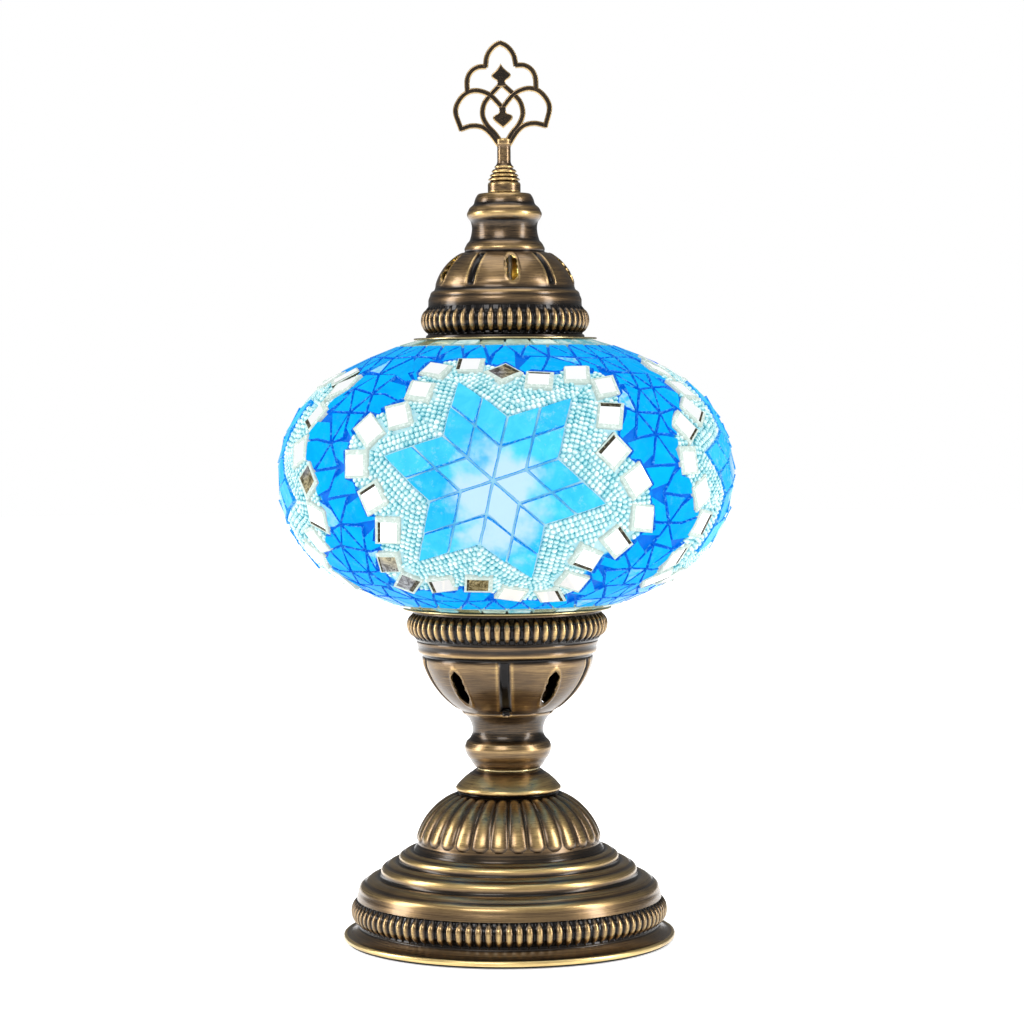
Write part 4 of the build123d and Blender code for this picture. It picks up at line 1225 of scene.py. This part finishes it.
def bead_rows(mirrors, chance):
    """Bead places (across, up, heading) in rows that echo the star out to the mirrors."""
    corners = star_corners()
    placed = []
    cells = {}
    for row in range(BEAD_ROWS):
        gap = BEAD_FIRST_ROW + BEAD_ROW_PITCH * row
        for point, heading in star_echo(corners, gap):
            across, up = (int(value // 3) for value in point)
            around = [(across + i, up + j) for i in (-1, 0, 1) for j in (-1, 0, 1)]
            if any(dist(point, spot) < BEAD_SPACING for cell in around for spot in cells.get(cell, ())):
                continue
            if distance_to(corners, point) < gap - 0.25 or covered(point, mirrors, 0.6):
                continue
            if hypot(*point) > lobed_radius(atan2(point[1], point[0])) + BEAD_EDGE:
                continue
            spot = point + uniform_pair(chance, 0.12)
            cells.setdefault(tuple(int(value // 3) for value in spot), []).append(spot)
            placed.append((*spot, heading + chance.uniform(-0.14, 0.14)))
    return placed


def bead_template(sides=8):
    """A rounded bead of unit radius along X with a hole, as vertices and faces."""
    half = [(-0.62, 0.36), (-0.80, 0.62), (-0.52, 0.92)]
    section = half + [(0.0, 1.0)] + [(-along, radius) for along, radius in half[::-1]]
    vertices = [(along, *(radius * toward(2 * pi * side / sides))) for along, radius in section
                for side in range(sides)]
    return np.array(vertices), ring_faces(0, len(section), sides)


def bead_bands(look, chance, squares):
    """One mesh of seed beads for each medallion."""
    template, template_faces = bead_template()
    for number, side_name in enumerate(("front", "right", "back", "left")):
        vertices, faces, shades = [], [], []
        for across, up, heading in bead_rows(squares[number], chance):
            point, east, north, outward = surface(*medallion_place(number, across, up), BEAD_DEPTH)
            along = east * cos(heading) + north * sin(heading)
            tip = chance.uniform(-0.12, 0.12)
            along = along * cos(tip) + outward * sin(tip)
            sideways = np.cross(outward, along)
            upward = np.cross(along, sideways)
            size = chance.uniform(1.08, 1.28)
            shade = chance.uniform(-0.12, 0.12)
            point = point + outward * chance.uniform(-0.1, 0.15)
            faces += shifted(template_faces, len(vertices))
            for x, y, z in template * size:
                vertices.append(point + along * x + sideways * y + upward * z)
                # painted shade and highlight: each bead is darker towards the glass and at its ends next to
                # its neighbours, paler on top and round its middle; the random part is its own tone
                shades.append(0.42 + 0.42 * z / size + shade + (0.12 if abs(x) < 0.3 else -0.10))
        piece = new_piece("beads_" + side_name, vertices, faces, [look], "globe", "bead_band_" + side_name,
                          "bead_glass", 180)
        store(piece.data, "shade", shades)


def grout_skin(look):
    """The clear grout that stands between the tiles, over the blown glass."""
    columns, rows = ((300, 200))
    lengths = np.linspace(*GROUT_SPAN, rows)
    vertices, zones = [], []
    for length in lengths:
        for column in range(columns):
            turn = 2 * pi * column / columns
            vertices.append(surface(turn, length, GROUT_DEPTH)[0])
            _, across, up = medallion_local(turn, length)
            direction = atan2(up, across)
            reach = hypot(across, up)
            pale = 1 - smooth_step(reach - lobed_radius(direction), 3.5, 5.5)
            points = cos(6 * (direction - radians(STAR_TURN)))
            star = 1 - smooth_step(reach, 20.0, 34.0 + 8 * points)
            collar = max(smooth_step(length, 76.0, 79.0), smooth_step(-length, COLLAR_ARC, COLLAR_ARC + 3.0))
            zones.append(max(pale * (0.80 - 0.34 * star), collar * 0.85))
    faces = ring_faces(0, len(lengths), columns)
    skin = new_piece("clear_grout", vertices, faces, [look], "globe", None, "clear_glass", 180)
    store(skin.data, "zone", zones)


def mosaic():
    """Everything that is glued to the blown glass."""
    chance = random.Random(4)
    star = lit_glass("star_glass", (0.01, 0.42, 0.82), (0.08, 0.64, 0.90), (0.44, 0.74, 0.88), 0.6)
    star_edge = glass_edge("star_glass_edge", (0.002, 0.28, 0.80), (0.40, 0.70, 0.88))
    field = lit_glass("field_glass", (0.001, 0.30, 0.78), (0.003, 0.47, 0.90), (0.42, 0.68, 0.90), 0.12)
    field_edge = glass_edge("field_glass_edge", (0.0, 0.12, 0.70), (0.10, 0.50, 0.88))
    collar = collar_glass()
    collar_edge = glass_edge("collar_glass_edge", (0.30, 0.50, 0.46), (0.66, 0.84, 0.80), 0.4)
    squares = mirror_squares()
    for node, slot, looks, spread in (
        ("star_tiles", "star_glass", (star, star_edge), 0.30),
        ("field_tiles", "field_glass", (field, field_edge), 0.16),
        ("upper_collar_tiles", "collar_glass", (collar, collar_edge), 0.50),
        ("lower_collar_tiles", "collar_glass", (collar, collar_edge), 0.50),
    ):
        glass_tiles(node, slot, looks, spread, chance, squares)
    border = glass_edge("mirror_border", (0.52, 0.63, 0.58), (0.86, 0.94, 0.91), 0.52)
    # painted reflection: the dark streaks along one side of some mirrors' borders
    dark = glass_edge("mirror_dark_reflection_side", (0.05, 0.045, 0.03), (0.45, 0.42, 0.30), 0.1)
    mirror_pieces([mirror_metal(), border, dark, painted_reflection_mirror()], chance)
    bead_bands(bead_glass(), chance, squares)
    grout_skin(grout_look())


# ---------------------------------------------------------------- the rest of the lamp
def hardware():
    """Parts kept as designed, each with its own material and crisp edges eased by so many millimetres."""
    for name, colour, roughness, bevels in (
        ("aged_disc_brass", (0.46, 0.37, 0.19), 0.28, {"seat_washer": 0.15, "lower_disc": 0.12,
                                                       "upper_disc": 0.12}),
        ("zinc_steel", (0.72, 0.72, 0.70), 0.32, {"stem_pipe": 0, "stem_washers": 0.15, "stem_nuts": 0.3,
                                                  "cap_washer": 0.15, "cap_nut": 0.3, "cap_stud": 0}),
        ("spring_steel", (0.62, 0.63, 0.66), 0.25, {"globe_spring": 0.15, "cap_spring": 0.15}),
        ("contact_brass", (0.85, 0.66, 0.30), 0.25, {"screw_shell": 0, "centre_contact": 0.1,
                                                     "terminal_screws": 0.2}),
        ("bulb_nickel", (0.82, 0.80, 0.76), 0.22, {"bulb_cap": 0}),
        ("solder", (0.62, 0.62, 0.64), 0.35, {"bulb_contact": 0.3}),
    ):
        sit(plain_metal(name, colour, roughness), bevels)
    for name, dark, light, roughness, scale, depth, bevels in (
        ("black_rubber", (0.010, 0.010, 0.010), (0.03, 0.03, 0.03), 0.5, 3.0, 0.03, {"cord_bush": 0.25}),
        ("cast_iron", (0.025, 0.024, 0.023), (0.09, 0.085, 0.08), 0.6, 1.2, 0.15, {"ballast_disc": 0.8}),
        ("board", (0.24, 0.15, 0.07), (0.42, 0.29, 0.15), 0.75, 0.8, 0.05, {"underside_board": 0.3}),
        ("felt", (0.008, 0.007, 0.006), (0.030, 0.026, 0.022), 0.95, 2.5, 0.12, {"felt_pad": 0}),
        ("holder_plastic", (0.012, 0.012, 0.012), (0.03, 0.03, 0.03), 0.35, 2.0, 0.02,
         {"shade_ring": 0.3, "holder_cap": 0.4, "holder_skirt": 0.3}),
        ("ceramic", (0.78, 0.76, 0.72), (0.90, 0.88, 0.85), 0.30, 1.0, 0.02, {"holder_core": 0.3}),
        ("bulb_insulator", (0.010, 0.010, 0.012), (0.05, 0.05, 0.06), 0.2, 1.5, 0.02, {"bulb_insulator": 0}),
        ("clear_glass", (0.30, 0.66, 0.86), (0.62, 0.84, 0.93), 0.12, 0.08, 0.05, {"globe_glass": 0}),
    ):
        sit(speckled(name, dark, light, roughness, scale, depth), bevels)
    sit(frosted_bulb(), {"bulb_glass": 0})


spun_parts(antique_brass())
build_finial(antique_brass("finial_brass", -0.04))
mosaic()
hardware()
studio()
